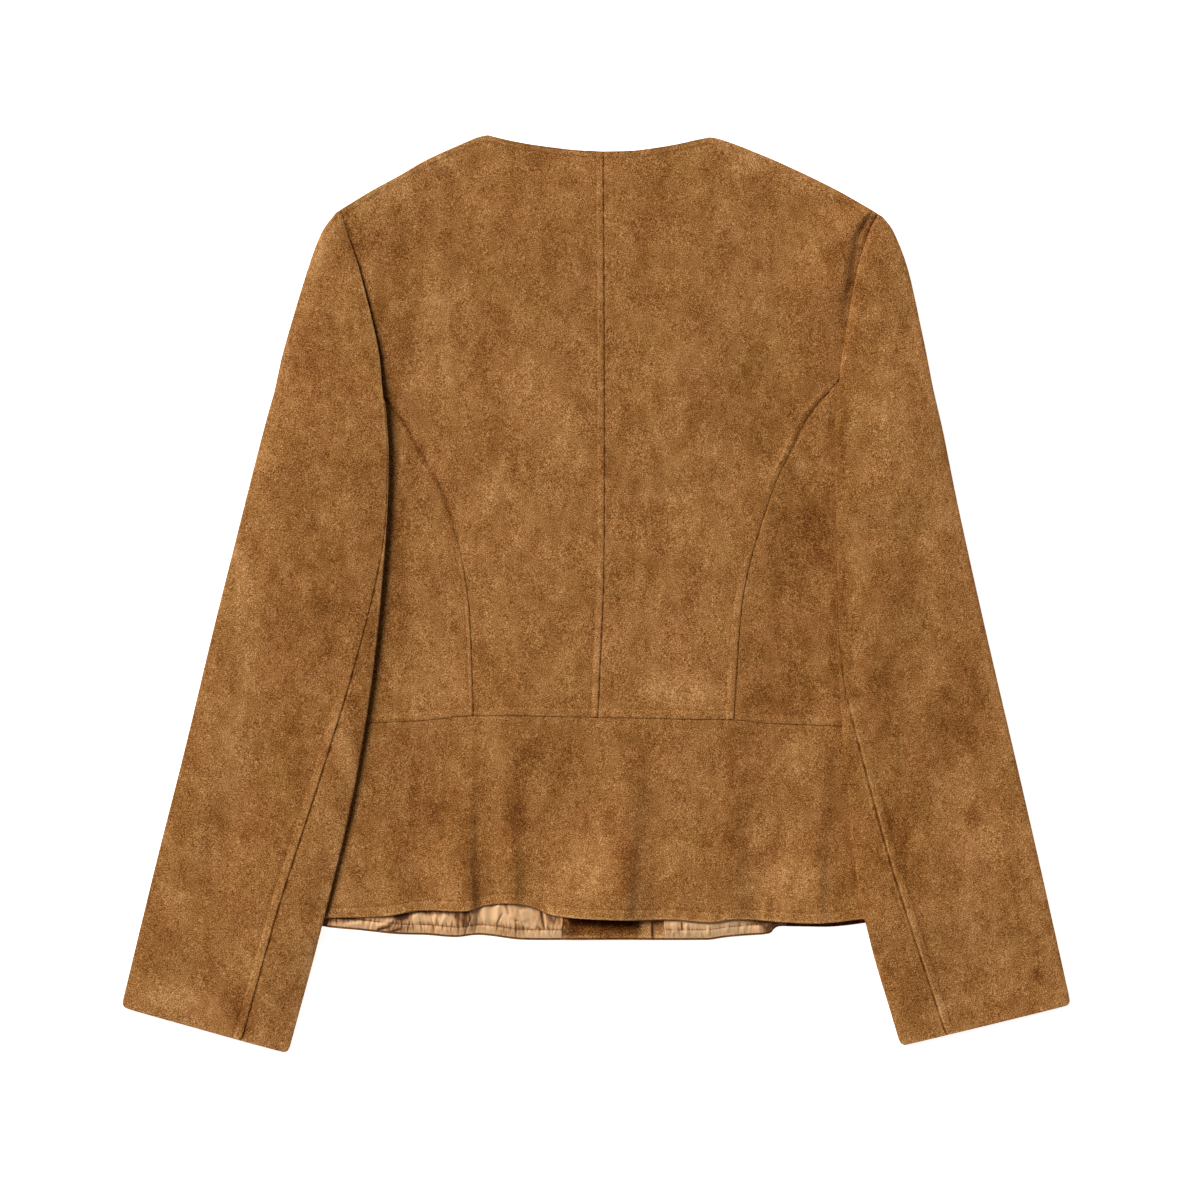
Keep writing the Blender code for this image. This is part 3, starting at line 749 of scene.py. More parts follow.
def cuff_corner(side, at):
    """How far the cuff's rounded corners draw in from the folds."""
    last_rows = SLEEVES[side][-2:]
    length = math.dist(last_rows[0][:2], last_rows[1][:2])
    to_cuff = np.clip((len(SLEEVES[side]) - 1 - at) * length, 0, CUFF_CORNER)
    return CUFF_CORNER - np.sqrt(CUFF_CORNER**2 - (CUFF_CORNER - to_cuff) ** 2)


def sewn_down(row, at, share, rise):
    """1 where a sleeve's lower wall is sewn to the front's armhole and lies as low as the front."""
    past_seam = ease((share - row.front_seam + 0.03) / 0.03)
    return ease(-rise / 0.5) * past_seam * (1 - ease(at - (ARMPIT - 1)))


def sleeve_point(side, at, turn, inward):
    """Points of a sleeve's wall. turn goes once round, from the inner fold over the top, and inward
    goes from 0 at the outer face to 1 at the inner one.
    """
    row = section_at(side, at)
    wall = VELOUR * inward
    half_width = row_width(row) / 2
    reach = np.maximum(half_width - wall - cuff_corner(side, at), 0.2)
    share = 0.5 - 0.5 * np.cos(turn) * reach / half_width
    plan = sleeve_plan(side, at, share)
    x, y = plan[..., 0], plan[..., 1]
    rise = np.sin(turn)
    cap = 1 - ease(at / CAP_END[side])
    squareness = TUBE_SQUARENESS + (CAP_SQUARENESS - TUBE_SQUARENESS) * cap * (rise > 0)
    swell = np.minimum(1.0, TUBE_FLATNESS * np.abs(rise) ** squareness)
    height = row.height / 2 + np.copysign(swell, rise) * (row.height / 2 - wall)
    on_top = np.clip(rise, 0, 1) ** 0.6
    drape = crease_height(SLEEVE_CREASES, x, y) + undulation(x, y, seed=23)
    height = height + on_top * (SLEEVE_CROWN * np.clip(rise, 0, 1) + drape) * ease(at / 1.5)
    lift = edge_lift(side, at) * (1 - np.clip(share, 0, 1)) ** 2.4
    rest, bridge = sleeve_rest_height(side, x, y)
    raised = (rest + lift) * (1 - sewn_down(row, at, share, rise))
    return np.stack([x, y, raised + on_top * bridge + height], axis=-1)


def turn_of(share):
    """Turn from the inner fold over the top at which a share of the width is reached."""
    return np.arccos(1 - 2 * np.clip(share, 0.0, 1.0))


def overlap_turn(side, at, turn):
    """Turn that a seam's hair of overlap takes up, where the wall runs round at this turn."""
    half_width = row_width(section_at(side, at)) / 2
    return SEAM_OVERLAP / np.hypot(half_width * np.sin(turn), 3.0)


# Meshes.

# How much lighter the colour is for each millimetre that it stands proud, partly rubbed pile and
# partly a painted highlight, and how much darker, as a painted shade, for each that it is sunken.
RUBBED_AND_LIT, GROOVE_SHADE = 0.9, 1.1


# Sums a set of marks into one shift of tone: brushed nap, a dark spot at the cuff, painted shade
# and painted light.
def marked_nap_and_light(marks, x, y):
    total = np.zeros_like(x)
    for mark in marks:
        lean = math.radians(mark.lean)
        off_x, off_y = x - mark.x, y - mark.y
        across = off_x * math.cos(lean) - off_y * math.sin(lean)
        along = off_x * math.sin(lean) + off_y * math.cos(lean)
        away = (across / mark.half_width) ** 2 + (along / mark.half_length) ** 2
        total += mark.shade * np.exp(-(away**1.5))
    return total


def cells(index):
    corners = (index[:-1, :-1], index[:-1, 1:], index[1:, 1:], index[1:, :-1])
    return np.stack(corners, axis=-1).reshape(-1, 4)


def add_piece(name, data):
    """An object in the scene, over a mesh, a light or a camera."""
    piece = bpy.data.objects.new(name, data)
    bpy.context.scene.collection.objects.link(piece)
    return piece


def new_shell(node, outer, inner, material, raised):
    """A closed skin over two grids of points, in millimetres, that share their rim.

    raised is how far the outer face stands proud, with any painted light and shade added to it as
    height. The colour takes a painted highlight where it stands proud and a painted shade in a
    groove.
    """
    rows, columns = outer.shape[:2]
    index = np.arange(rows * columns).reshape(rows, columns)
    core = inner[1:-1, 1:-1].reshape(-1, 3)
    under = index.copy()
    under[1:-1, 1:-1] = index.size + np.arange(len(core)).reshape(rows - 2, columns - 2)
    points = np.concatenate([outer.reshape(-1, 3), core]) * MM
    faces = np.concatenate([cells(index), cells(under)[:, ::-1]])
    a, b, c, d = (points[faces[:, corner]] for corner in range(4))
    volume = (np.cross(a, b) * c).sum() + (np.cross(a, c) * d).sum()
    if volume < 0:
        faces = faces[:, ::-1]
    mesh = bpy.data.meshes.new(f"{node}_cloth")
    mesh.from_pydata(points.tolist(), [], faces.tolist())
    shade = marked_nap_and_light((*NAP_AND_LIGHT_MARKS, CUFF_MARK), points[:, 0] / MM, points[:, 1] / MM)
    raised = raised.reshape(-1)
    # Painted highlight where the face stands proud and painted shade in grooves, over the marks.
    shade[: index.size] += np.where(raised > 0, RUBBED_AND_LIT, GROOVE_SHADE) * raised
    # The attribute carries the marks together with the painted light and shade, for the finishes to
    # read.
    nap_and_light = mesh.attributes.new("nap_and_light", "FLOAT", "POINT")
    nap_and_light.data.foreach_set("value", shade.astype(np.float32))
    mesh.shade_smooth()
    mesh.materials.append(material)
    return add_piece(f"{node}_cloth", mesh)


def lay_panel(node, grid, underside, thickness, material, relief=None, shading=None):
    """A panel over a grid of plan points.

    relief gives the height of what is pressed into its upper face. shading gives the painted light
    and shade, as a height that counts as raised for the colour, where that isn't just the relief.
    """
    grid = close_seams(grid)
    x, y = grid[..., 0], grid[..., 1]
    reach = edge_reach(grid)
    roll = edge_roll(reach, thickness / 2)
    low = underside(x, y)
    middle = low + thickness / 2
    proud = roll * relief(x, y, reach) if relief else np.zeros_like(x)
    upper = np.stack([x, y, middle + thickness / 2 * roll + proud], axis=-1)
    lower = np.stack([x, y, middle - thickness / 2 * roll], axis=-1)
    return new_shell(node, upper, lower, material, shading(x, y, reach) if shading else proud)


# Seams, as they press into the cloth.

SEAM_PULL, SEAM_PULL_WIDTH = 0.42, 0.75
ALLOWANCE_WIDTH, ALLOWANCE_HEIGHT = 5.5, 0.42


def seam_pull(distance):
    broad = 0.25 * bump(distance, 2.6 * SEAM_PULL_WIDTH)
    return -SEAM_PULL * (bump(distance, SEAM_PULL_WIDTH) + broad)


def allowance(distance, height=ALLOWANCE_HEIGHT, width=ALLOWANCE_WIDTH, line=0.5):
    """The layers of a seam allowance under the cloth, which end in a soft step and a faint line."""
    faint_line = line * bump(distance - width - 0.9, 0.8)
    return height * (1 - ease((distance - width + 0.8) / 1.6) - faint_line)


def pucker(along, distance, seed, height=0.22, reach=4.0):
    """Small uneven puckers that run out of a seam."""
    chance = np.random.default_rng(seed)
    total = np.zeros_like(along)
    for _ in range(5):
        pace = 2 * math.pi / chance.uniform(5, 16)
        total += np.sin(pace * along + chance.uniform(0, 2 * math.pi))
    return height * 0.4 * total * bump(distance, reach)


def princess_crease(side, distance, y):
    """Near its top the princess seam is pulled into a broader, deeper crease."""
    if side == "left":
        return -0.7 * bump(distance, 2.4) * step_down(y, 150, 6) * step_up(y, 8, 60)
    return -0.45 * bump(distance, 1.7) * step_down(y, 154, 8) * step_up(y, 60, 60)


def seam_corners(side, x, y):
    """1 where the right seams lie slack: at the princess seam's top end, and by the shoulder."""
    if side == "left":
        return np.zeros_like(x)
    by_shoulder = step_up(y, 250, 20) * step_up(x, 150, 10)
    return np.maximum(bump(np.hypot(x - 182.5, y - 161), 6), by_shoulder)


def back_relief(side):
    def relief(x, y, reach):
        seams = 1.4 * seam_pull(reach.start) + seam_pull(reach.end) + 0.6 * seam_pull(reach.foot)
        pressed = allowance(reach.foot, 0.3, 6.0) + allowance(reach.top, 0.3, 4.5)
        if side == "left":
            pressed += allowance(reach.start, 0.4 + 0.35 * step_down(y, 60, 120), 5.0)
            seams += 0.5 * seam_pull(reach.end) * step_down(y, 40, 60)
        else:
            pressed += allowance(reach.end, 0.5 * step_down(y, 80, 100), 6.0)
            pressed += 0.5 * bump(reach.end - 5.0, 2.0) * step_down(y, 156, 8) * step_up(y, 60, 40)
        puckers = pucker(x, reach.foot, 31) + 0.5 * pucker(y, reach.start, 32)
        puckers += 0.6 * pucker(y, reach.end, 33)
        seams *= 1 - 0.8 * seam_corners(side, x, y)
        return seams + pressed + puckers + princess_crease(side, reach.end, y)

    return relief


def thread_unevenness(along, distance, seed):
    """A seam's line is darker at some stitches than at others."""
    return pucker(along, distance, seed, 1.0, 1.1)


def back_shade(side):
    """Painted shade at the neck's edge and beside the sleeves, painted highlight by the shoulder.
    """
    relief = back_relief(side)

    def shade(x, y, reach):
        past_neck = step_up(abs(x - 2.5), 74, 12)
        inside_tip = step_down(abs(x), 186, 14)
        # Painted highlight along the shoulders' edges, and painted shade along the neck's edge.
        edge_light_and_shade = 0.6 * past_neck * inside_tip * bump(reach.top - 5, 7)
        edge_light_and_shade -= 1.3 * (1 - past_neck) * bump(reach.top, 1.1)
        uneven = thread_unevenness(y, reach.start, 41) + thread_unevenness(y, reach.end, 42)
        # Painted shadow on the body beside the sleeves' edges.
        if side == "left":
            beside = -1.2 * bump(reach.end, 3.0) * step_up(y, 150, 30) * step_down(y, 286, 16)
            beside -= 0.6 * bump(reach.end - 8, 6) * step_up(y, 140, 20) * step_down(y, 238, 30)
        else:
            beside = -0.5 * bump(reach.end - 4, 6) * step_up(y, 205, 20) * step_down(y, 284, 12)
        return relief(x, y, reach) + edge_light_and_shade + beside + uneven

    return shade


def side_back_relief(side):
    def relief(x, y, reach):
        seams = seam_pull(reach.start) + 0.6 * seam_pull(reach.foot)
        seams += princess_crease(side, reach.start, y)
        seams *= 1 - 0.8 * seam_corners(side, x, y)
        pressed = allowance(reach.foot, 0.3, 6.0)
        if side == "left":
            pressed += allowance(reach.start, 0.5 * step_down(y, 50, 50), 2.6, 0.9)
        return seams + pressed + pucker(x, reach.foot, 34) + 0.6 * pucker(y, reach.start, 35)

    return relief


HEM_STITCH_REACH = 8.0


def peplum_back_relief(x, y, reach):
    stitch_line = -0.5 * bump(reach.foot - HEM_STITCH_REACH, 0.75)
    turned_up = 0.35 * (1 - ease((reach.foot - HEM_STITCH_REACH) / 1.2))
    seams = 0.6 * seam_pull(reach.top) + pucker(x, reach.top, 36, 0.26, 5.0)
    rim = 0.3 * bump(reach.foot - 0.8, 0.7)
    puckers = pucker(x, reach.foot - HEM_STITCH_REACH, 37, 0.12, 4.0)
    return turned_up + stitch_line + seams + rim + puckers


def peplum_back_shade(x, y, reach):
    """A painted highlight along the lifted part of the hem's edge."""
    rim_highlight = 1.1 * bump(reach.foot - 0.7, 0.8) * step_up(x, -45, 20)
    return peplum_back_relief(x, y, reach) + rim_highlight


# How far the back's armhole edge runs on under the sleeve, as a share of the sleeve's width.
UNDER_SLEEVE = 0.03


def back_armhole(side, shares):
    """The back's edge under the sleeve's cap, at shares from the shoulder to the cap's end."""
    at = shares * CAP_END[side]
    return sleeve_plan(side, at, UNDER_SLEEVE * ease((CAP_END[side] - at) / 0.15))


def front_armhole(side, shares):
    """The front's edge under the sleeve, at shares from the shoulder to the armpit."""
    at = shares * ARMPIT
    return sleeve_plan(side, at, section_at(side, at).front_seam)


def make_backs(velour):
    pieces = {}
    tops = {"left": (NECK_LEFT, SHOULDER_LEFT), "right": (NECK_RIGHT, SHOULDER_RIGHT)}
    for side, (neck, shoulder) in tops.items():
        down = cell_shares(line_length(CENTRE_BACK), start=PRESSED_STEPS, end=PRESSED_STEPS)
        across = cell_shares(BACK_WIDTH, start=PRESSED_STEPS, end=PRESSED_STEPS)
        top = join_lines(across, BACK_NECK_SHARE, partial(divide, neck), partial(divide, shoulder))
        armhole, princess = partial(back_armhole, side), partial(divide, princess_line(side))
        outer = join_lines(down, ARMHOLE_SHARE, armhole, princess)
        centre = divide(CENTRE_BACK, down)
        foot = waist_between(centre[-1][0], outer[-1][0], across)
        grid = span_patch(top, foot, centre, outer, across, down)
        node = f"back_{side}"
        finish = velour, back_relief(side), back_shade(side)
        pieces[node] = lay_panel(node, grid, back_height, VELOUR, *finish)
    return pieces


def make_side_backs(velour):
    pieces = {}
    for side in SLEEVES:
        across = cell_shares(SIDE_BACK_WIDTH, start=PRESSED_STEPS)
        down = cell_shares(line_length(princess_line(side)), end=PRESSED_STEPS)
        top = lower_armhole(side, across)
        inner, outer = divide(princess_line(side), down), divide(side_line(side), down)
        foot = waist_between(inner[-1][0], outer[-1][0], across)
        grid = span_patch(top, foot, inner, outer, across, down)
        node = f"side_back_{side}"
        pieces[node] = lay_panel(node, grid, back_height, VELOUR, velour, side_back_relief(side))
    return pieces


def make_peplum_back(velour):
    across = cell_shares(PEPLUM_WIDTH, step=1.8)
    down = cell_shares(PEPLUM_HEIGHT, step=1.9, start=PRESSED_STEPS, end=HEM_STEPS)
    left, right = (divide(peplum_side_line(side), down) for side in ("left", "right"))
    top = waist_between(left[0][0], right[0][0], across)
    foot = divide(BACK_HEM, across)
    grid = span_patch(top, foot, left, right, across, down)
    finish = velour, peplum_back_relief, peplum_back_shade
    return {"peplum_back": lay_panel("peplum_back", grid, back_height, VELOUR, *finish)}


def front_height(side):
    """Height of a front's underside, and its own creases where the layer above leaves room."""

    def height(x, y):
        room = step_down(abs(x - CENTRE_X), 100, 30) * step_down(y, 272, 30) * step_up(y, -190, 20)
        under_lap = 1 - step_up(x, -40, 12) * step_down(x, 62, 12)
        lie = lap(x) if side == "left" else np.zeros_like(x)
        return lie + room * under_lap * crease_height(FRONT_CREASES, x, y)

    return height


def make_fronts(velour):
    pieces = {}
    for side, shoulder, neck, edge, waist in (
        ("left", SHOULDER_LEFT, FRONT_NECK_LEFT, FRONT_EDGE_LEFT, FRONT_WAIST_LEFT),
        ("right", SHOULDER_RIGHT, FRONT_NECK_RIGHT, FRONT_EDGE_RIGHT, FRONT_WAIST_RIGHT),
    ):
        across, down = cell_shares(FRONT_WIDTH, PLAIN_STEP), cell_shares(FRONT_HEIGHT, PLAIN_STEP)
        armhole, side_seam = partial(front_armhole, side), partial(divide, side_line(side))
        outer = join_lines(down, FRONT_ARMHOLE_SHARE, armhole, side_seam)
        inner = join_lines(down, FRONT_NECK_SHARE, partial(divide, neck), partial(divide, edge))
        top = divide([outer[0], *shoulder[-2::-1]], across)
        grid = span_patch(top, divide(waist, across), outer, inner, across, down)
        node = f"front_{side}"
        pieces[node] = lay_panel(node, grid, front_height(side), VELOUR, velour)
    return pieces


FRONT_PEPLUMS = {
    "left": (PEPLUM_EDGE_LEFT, FRONT_WAIST_LEFT, FRONT_HEM_LEFT),
    "right": (PEPLUM_EDGE_RIGHT, FRONT_WAIST_RIGHT, FRONT_HEM_RIGHT),
}


def peplum_front_grid(side, across, down):
    edge, waist, hem = FRONT_PEPLUMS[side]
    across, down = np.array([0, *across, 1]), np.array([0, *down, 1])
    outer, inner = divide(peplum_side_line(side), down), divide(edge, down)
    grid = span_patch(divide(waist, across), divide(hem, across), outer, inner, across, down)
    return grid[1:-1, 1:-1]


def peplum_front_shade(x, y, reach):
    """Painted shadow where the right front shows under the back hem."""
    return -2.4 * step_up(x, 126, 8) * step_down(y, hem_line_y(x) + 3, 3)


def make_peplum_fronts(velour):
    pieces = {}
    for side in SLEEVES:
        across = cell_shares(FRONT_PEPLUM_WIDTH)
        down = cell_shares(FRONT_PEPLUM_HEIGHT, step=3.0)
        grid = peplum_front_grid(side, across, down)
        node = f"peplum_front_{side}"
        finish = velour, None, peplum_front_shade
        pieces[node] = lay_panel(node, grid, front_height(side), VELOUR, *finish)
    return pieces


# The lining is gathered on a line of stitches above a narrow band at the hem.
LINING_BAND = 6.6
GATHER_SPACING, GATHER_SEED = (1.6, 4.2), 40
LINING_CREASES = rows_of(
    Crease,
    (-84, -230, -82, -250, 3.4, 1.5),
    (-73, -230, -74, -250, 2.6, 1.7),
    (-68, -232, -64.5, -243, 0.8, -0.9),
    (-68.5, -239, -75, -250, 0.8, -0.9),
    (-66, -243, -36, -254, 0.8, -0.9),
    (-60, -246, -40, -253, 1.4, 1.0),
    (-55, -236, -52, -248, 3.4, 1.5),
    (-41, -237, -38.4, -254, 0.8, -1.1),
    (-38.5, -238, -36, -254, 0.9, 1.1),
    (-86, -243, -84, -250, 0.8, -0.7),
    (-97, -236, -98, -252, 2.0, -1.0),
    (-104, -238, -103, -252, 1.5, -0.8),
    (-112, -240, -116, -251, 1.6, 0.9),
    (-120, -240, -121, -251, 1.6, 0.9),
    (-136, -240, -133, -250, 4.0, 1.2),
    (-150, -245, -166, -251, 1.4, 0.9),
    (-144, -252, -158, -256, 0.9, -1.0),
    (-152, -250, -166, -254, 0.9, -1.0),
    (-172, -247, -190, -250, 1.8, 0.8),
    (58, -246, 60, -256, 2.2, 0.9),
    (64.5, -246, 65.5, -254, 0.8, -1.2),
    (69, -246, 68, -259, 1.2, 1.1),
    (86, -248, 84, -258, 1.8, 0.9),
    (100, -246, 98, -256, 1.8, 0.8),
    (112, -246, 111, -256, 1.6, 0.8),
)


def gathers(x, from_line, seed):
    """Thin troughs across the stitched line, uneven in spacing, depth, width and length."""
    chance = np.random.default_rng(seed)
    total = np.zeros_like(x)
    place, last = x.min(), x.max()
    while place < last:
        place += chance.uniform(*GATHER_SPACING)
        lean, width = chance.uniform(-0.35, 0.35), chance.uniform(0.45, 0.85)
        depth, reach = chance.uniform(0.2, 1.0), chance.uniform(2.5, 8.0)
        total -= depth * bump(x - place - lean * from_line, width) * bump(from_line, reach)
    return total


def past_hem(x, y):
    """0 under the back hem and 1 where the layer below shows past it."""
    return step_down(y, hem_line_y(x) + 2.0, 3.0)


def lining_pleats(seed):
    def pleats(x, y, reach):
        from_line = reach.foot - LINING_BAND
        stitch_line = -0.6 * bump(from_line, 0.6)
        gathered = gathers(x, from_line, seed) * (0.6 + 0.4 * step_down(x, 20, 40))
        return past_hem(x, y) * (stitch_line + gathered + crease_height(LINING_CREASES, x, y))

    return pleats


# Painted shade in the lining's gathers and creases, and painted shade and light under the back hem.
def lining_shade(seed):
    pleats = lining_pleats(seed)

    def shade(x, y, reach):
        return 1.15 * pleats(x, y, reach) + marked_nap_and_light(LINING_LIGHT_AND_SHADE, x, y)

    return shade


# How far the back hem stands over what fills out under it.
HEM_SHADOW = 1.5


def filled_to_hem(x, y, from_foot):
    """How far the layer below puffs up into the room under the back hem."""
    room = back_height(x, np.maximum(y, hem_line_y(x))) - LAYER - SATIN - HEM_SHADOW
    return np.maximum(room, 0) * ease(from_foot / 9.0)


def lining_fill(x, y, from_foot):
    """The lining puffs up less where it is gathered tight, and lies flat at its right end."""
    return filled_to_hem(x, y, from_foot) * (1 - 0.8 * bump(x + 145, 8)) * step_down(x, 150, 24)


def lining_relief(seed):
    pleats = lining_pleats(seed)

    def relief(x, y, reach):
        from_line = reach.foot - LINING_BAND
        puff = 0.5 * ease(from_line / 4.0) + 0.5 * bump(from_line + LINING_BAND / 2, 2.5)
        return past_hem(x, y) * puff + lining_fill(x, y, reach.foot) + pleats(x, y, reach)

    return relief


def facing_relief(x, y, reach):
    beside_lining = filled_to_hem(x, y, reach.foot) * step_down(x, -12, 12)
    return beside_lining + 0.25 * undulation(x, y, seed=5) - 0.2 * bump(reach.foot - 4.0, 0.8)


def facing_shade(x, y, reach):
    """Painted shadow under the back hem, painted highlight at the foot and past the shadow's end.
    """
    past = hem_line_y(x) - y
    # pressed is the painted shadow under the back hem.
    pressed = 2.6 * (1 - step_up(past, 3.0, 5.0)) + 1.1
    window = step_down(x, 36, 8) * (0.7 + 0.3 * step_up(x, -26, 14))
    return 2.0 * bump(reach.foot - 0.8, 1.1) - pressed * window + 1.3 * step_up(x, 31, 5)


def on_front(side, x, y):
    return front_height(side)(x, y) + LAYER


def make_hem_bands(velour, satin):
    """The lining and the facings that show past the back hem, laid on the fronts."""
    pieces = {}
    for seed, band in enumerate(BANDS, start=GATHER_SEED):
        lining = band.cloth == "lining"
        width = line_length(FRONT_PEPLUMS[band.side][2]) * (band.end - band.start)
        shares = cell_shares(width, step=GATHER_STEP if lining else 1.6)
        across = band.start + (band.end - band.start) * shares
        shares = cell_shares(BAND_HEIGHT, step=1.2)
        down = HEM_BAND_TOP + (HEM_BAND_FOOT - HEM_BAND_TOP) * shares
        grid = peplum_front_grid(band.side, across, down)
        node = f"{band.cloth}_{band.side}"
        if lining:
            finish = satin, lining_relief(seed), lining_shade(seed)
        else:
            finish = velour, facing_relief, facing_shade
        pieces[node] = lay_panel(node, grid, partial(on_front, band.side), SATIN, *finish)
    return pieces


def sleeve_places(side, first, length):
    """Places along a sleeve of its rows, down each column. first is where each column starts."""
    last = len(SLEEVES[side]) - 1
    return first + (last - first) * cell_shares(length, TUBE_STEP)[:, None]


# How strong the painted highlight is along a sleeve's inner fold, where the fold catches the light.
FOLD_HIGHLIGHT = {"left": 1.1, "right": 0.3}


def sleeve_relief(from_seam, at):
    """The back seam's pull, with the narrow ridge and the allowance that grow down the sleeve."""
    grows = step_up(at, 6.4, 3.2)
    ridge = 0.2 * bump(from_seam - 1.9, 1.0) + allowance(from_seam, 0.38, 6.2, 0.9)
    return grows * (ridge + 0.6 * seam_pull(from_seam)) + seam_pull(from_seam) * 0.4


def seam_shade(side, from_seam, at):
    """Painted shade on a back seam's uneven line; painted highlight on the right sleeve's ridge."""
    uneven = thread_unevenness(60 * at, from_seam, 43) * step_up(at, 5.5, 1.5)
    if side == "left":
        return uneven - 0.9 * bump(from_seam, 1.0) * step_up(at, 5.5, 1.5)
    ridge = 1.2 * bump(from_seam - 1.6, 0.6) - 0.8 * bump(from_seam, 0.9)
    return uneven + ease(at - 8.0) * ridge


def fold_shade(side, at, from_inner, from_outer):
    """Painted light and shade along a sleeve's two folds, and a lighter band by its cuff."""
    rim_highlight = FOLD_HIGHLIGHT[side] * bump(from_inner - 1.0, 1.6) * ease(at - 1.5) * ease(9 - at)
    # Painted highlight beside the outer fold, and painted shade at its very edge.
    turned = 0.45 * bump(from_outer - 5, 5) * (ease(7.5 - at) if side == "left" else 1)
    turned -= 0.4 * bump(from_outer, 1.0)
    cuff = 0.7 * bump((len(SLEEVES[side]) - 1 - at) * CUFF_ROW_LENGTH, 7)
    if side == "right":
        return rim_highlight + turned + cuff
    # Painted shade where the left sleeve's inner fold turns from the light, painted light near the
    # cuff.
    rolled = -0.4 * bump(from_inner, 5.0) * step_up(at, 7.6, 0.8) * step_down(at, 9.4, 0.8)
    lit = 1.2 * bump(from_inner - 1, 5) * step_up(at, 8.8, 0.8)
    return rim_highlight + turned + cuff + rolled + lit


def make_sleeve(side, velour):
    pieces = {}
    upper_shares = cell_shares(UPPER_SLEEVE_WIDTH, TUBE_STEP, start=PRESSED_STEPS)
    under_shares = cell_shares(UNDER_SLEEVE_WIDTH)
    for name, around, length in (
        ("upper_sleeve", upper_shares, UPPER_SLEEVE_LENGTH),
        ("under_sleeve", under_shares, UNDER_SLEEVE_LENGTH),
    ):
        upper = name == "upper_sleeve"
        first = 0.0 if upper else under_end(side, around)[None, :]
        at = sleeve_places(side, first, length)
        at = np.broadcast_to(at, (at.shape[0], len(around)))
        row = section_at(side, at)
        front_row = row if upper else section_at(side, np.maximum(at, ARMPIT))
        front_turn = 2 * math.pi - turn_of(front_row.front_seam)
        back_turn = turn_of(row.back_seam)
        start, end = (back_turn, front_turn) if upper else (front_turn, 2 * math.pi + back_turn)
        start = start - overlap_turn(side, at, start)
        end = end + overlap_turn(side, at, end)
        turn = start + (end - start) * around
        middle = sleeve_point(side, at, turn, 0.5)
        reach = edge_reach(middle)
        roll = edge_roll(reach, VELOUR / 2)
        outer = sleeve_point(side, at, turn, 0.5 - 0.5 * roll)
        inner = sleeve_point(side, at, turn, 0.5 + 0.5 * roll)
        from_seam = reach.start if upper else reach.end
        relief = sleeve_relief(from_seam, at) if upper else seam_pull(from_seam)
        on_top = np.sin(turn) > 0
        raised = roll * relief * on_top
        outer[..., 2] += raised
        width = row_width(row)
        from_inner = (0.5 - 0.5 * np.cos(turn)) * width
        # Painted light and shade along the folds and the back seam, carried as raised height.
        shade = fold_shade(side, at, from_inner, width - from_inner)
        shade += seam_shade(side, from_seam, at)
        node = f"{name}_{side}"
        pieces[node] = new_shell(node, outer, inner, velour, raised + shade * on_top)
    return pieces


# Stitches.


def stitch_tree():
    """Geometry nodes that lay one small stitch after another along a path."""
    tree = bpy.data.node_groups.new("stitch_row", "GeometryNodeTree")
    interface = tree.interface
    interface.new_socket("Path", in_out="INPUT", socket_type="NodeSocketGeometry")
    for name in ("Stitch pitch", "Stitch length", "Thread width"):
        interface.new_socket(name, in_out="INPUT", socket_type="NodeSocketFloat")
    interface.new_socket("Thread", in_out="INPUT", socket_type="NodeSocketMaterial")
    interface.new_socket("Stitches", in_out="OUTPUT", socket_type="NodeSocketGeometry")
    nodes, links = tree.nodes, tree.links
    given, made = nodes.new("NodeGroupInput"), nodes.new("NodeGroupOutput")
    path = nodes.new("GeometryNodeMeshToCurve")
    spaced = nodes.new("GeometryNodeResampleCurve")
    spaced.mode = "LENGTH"
    tangent = nodes.new("GeometryNodeInputTangent")
    turned = nodes.new("FunctionNodeAlignRotationToVector")
    turned.axis = "X"
    bead = nodes.new("GeometryNodeMeshUVSphere")
    for entry, value in (("Segments", 8), ("Rings", 5), ("Radius", 0.5)):
        bead.inputs[entry].default_value = value
    size = nodes.new("ShaderNodeCombineXYZ")
    stretched = nodes.new("GeometryNodeTransform")
    placed = nodes.new("GeometryNodeInstanceOnPoints")
    real = nodes.new("GeometryNodeRealizeInstances")
    painted = nodes.new("GeometryNodeSetMaterial")
    for source, output, target, entry in (
        (given, "Path", path, "Mesh"),
        (path, "Curve", spaced, "Curve"),
        (given, "Stitch pitch", spaced, "Length"),
        (tangent, "Tangent", turned, "Vector"),
        (given, "Stitch length", size, "X"),
        (given, "Thread width", size, "Y"),
        (given, "Thread width", size, "Z"),
        (bead, "Mesh", stretched, "Geometry"),
        (size, "Vector", stretched, "Scale"),
        (spaced, "Curve", placed, "Points"),
        (stretched, "Geometry", placed, "Instance"),
        (turned, "Rotation", placed, "Rotation"),
        (placed, "Instances", real, "Geometry"),
        (real, "Geometry", painted, "Geometry"),
        (given, "Thread", painted, "Material"),
        (painted, "Geometry", made, "Stitches"),
    ):
        links.new(source.outputs[output], target.inputs[entry])
    return tree


def input_name(tree, name):
    return next(item.identifier for item in tree.interface.items_tree if item.name == name)


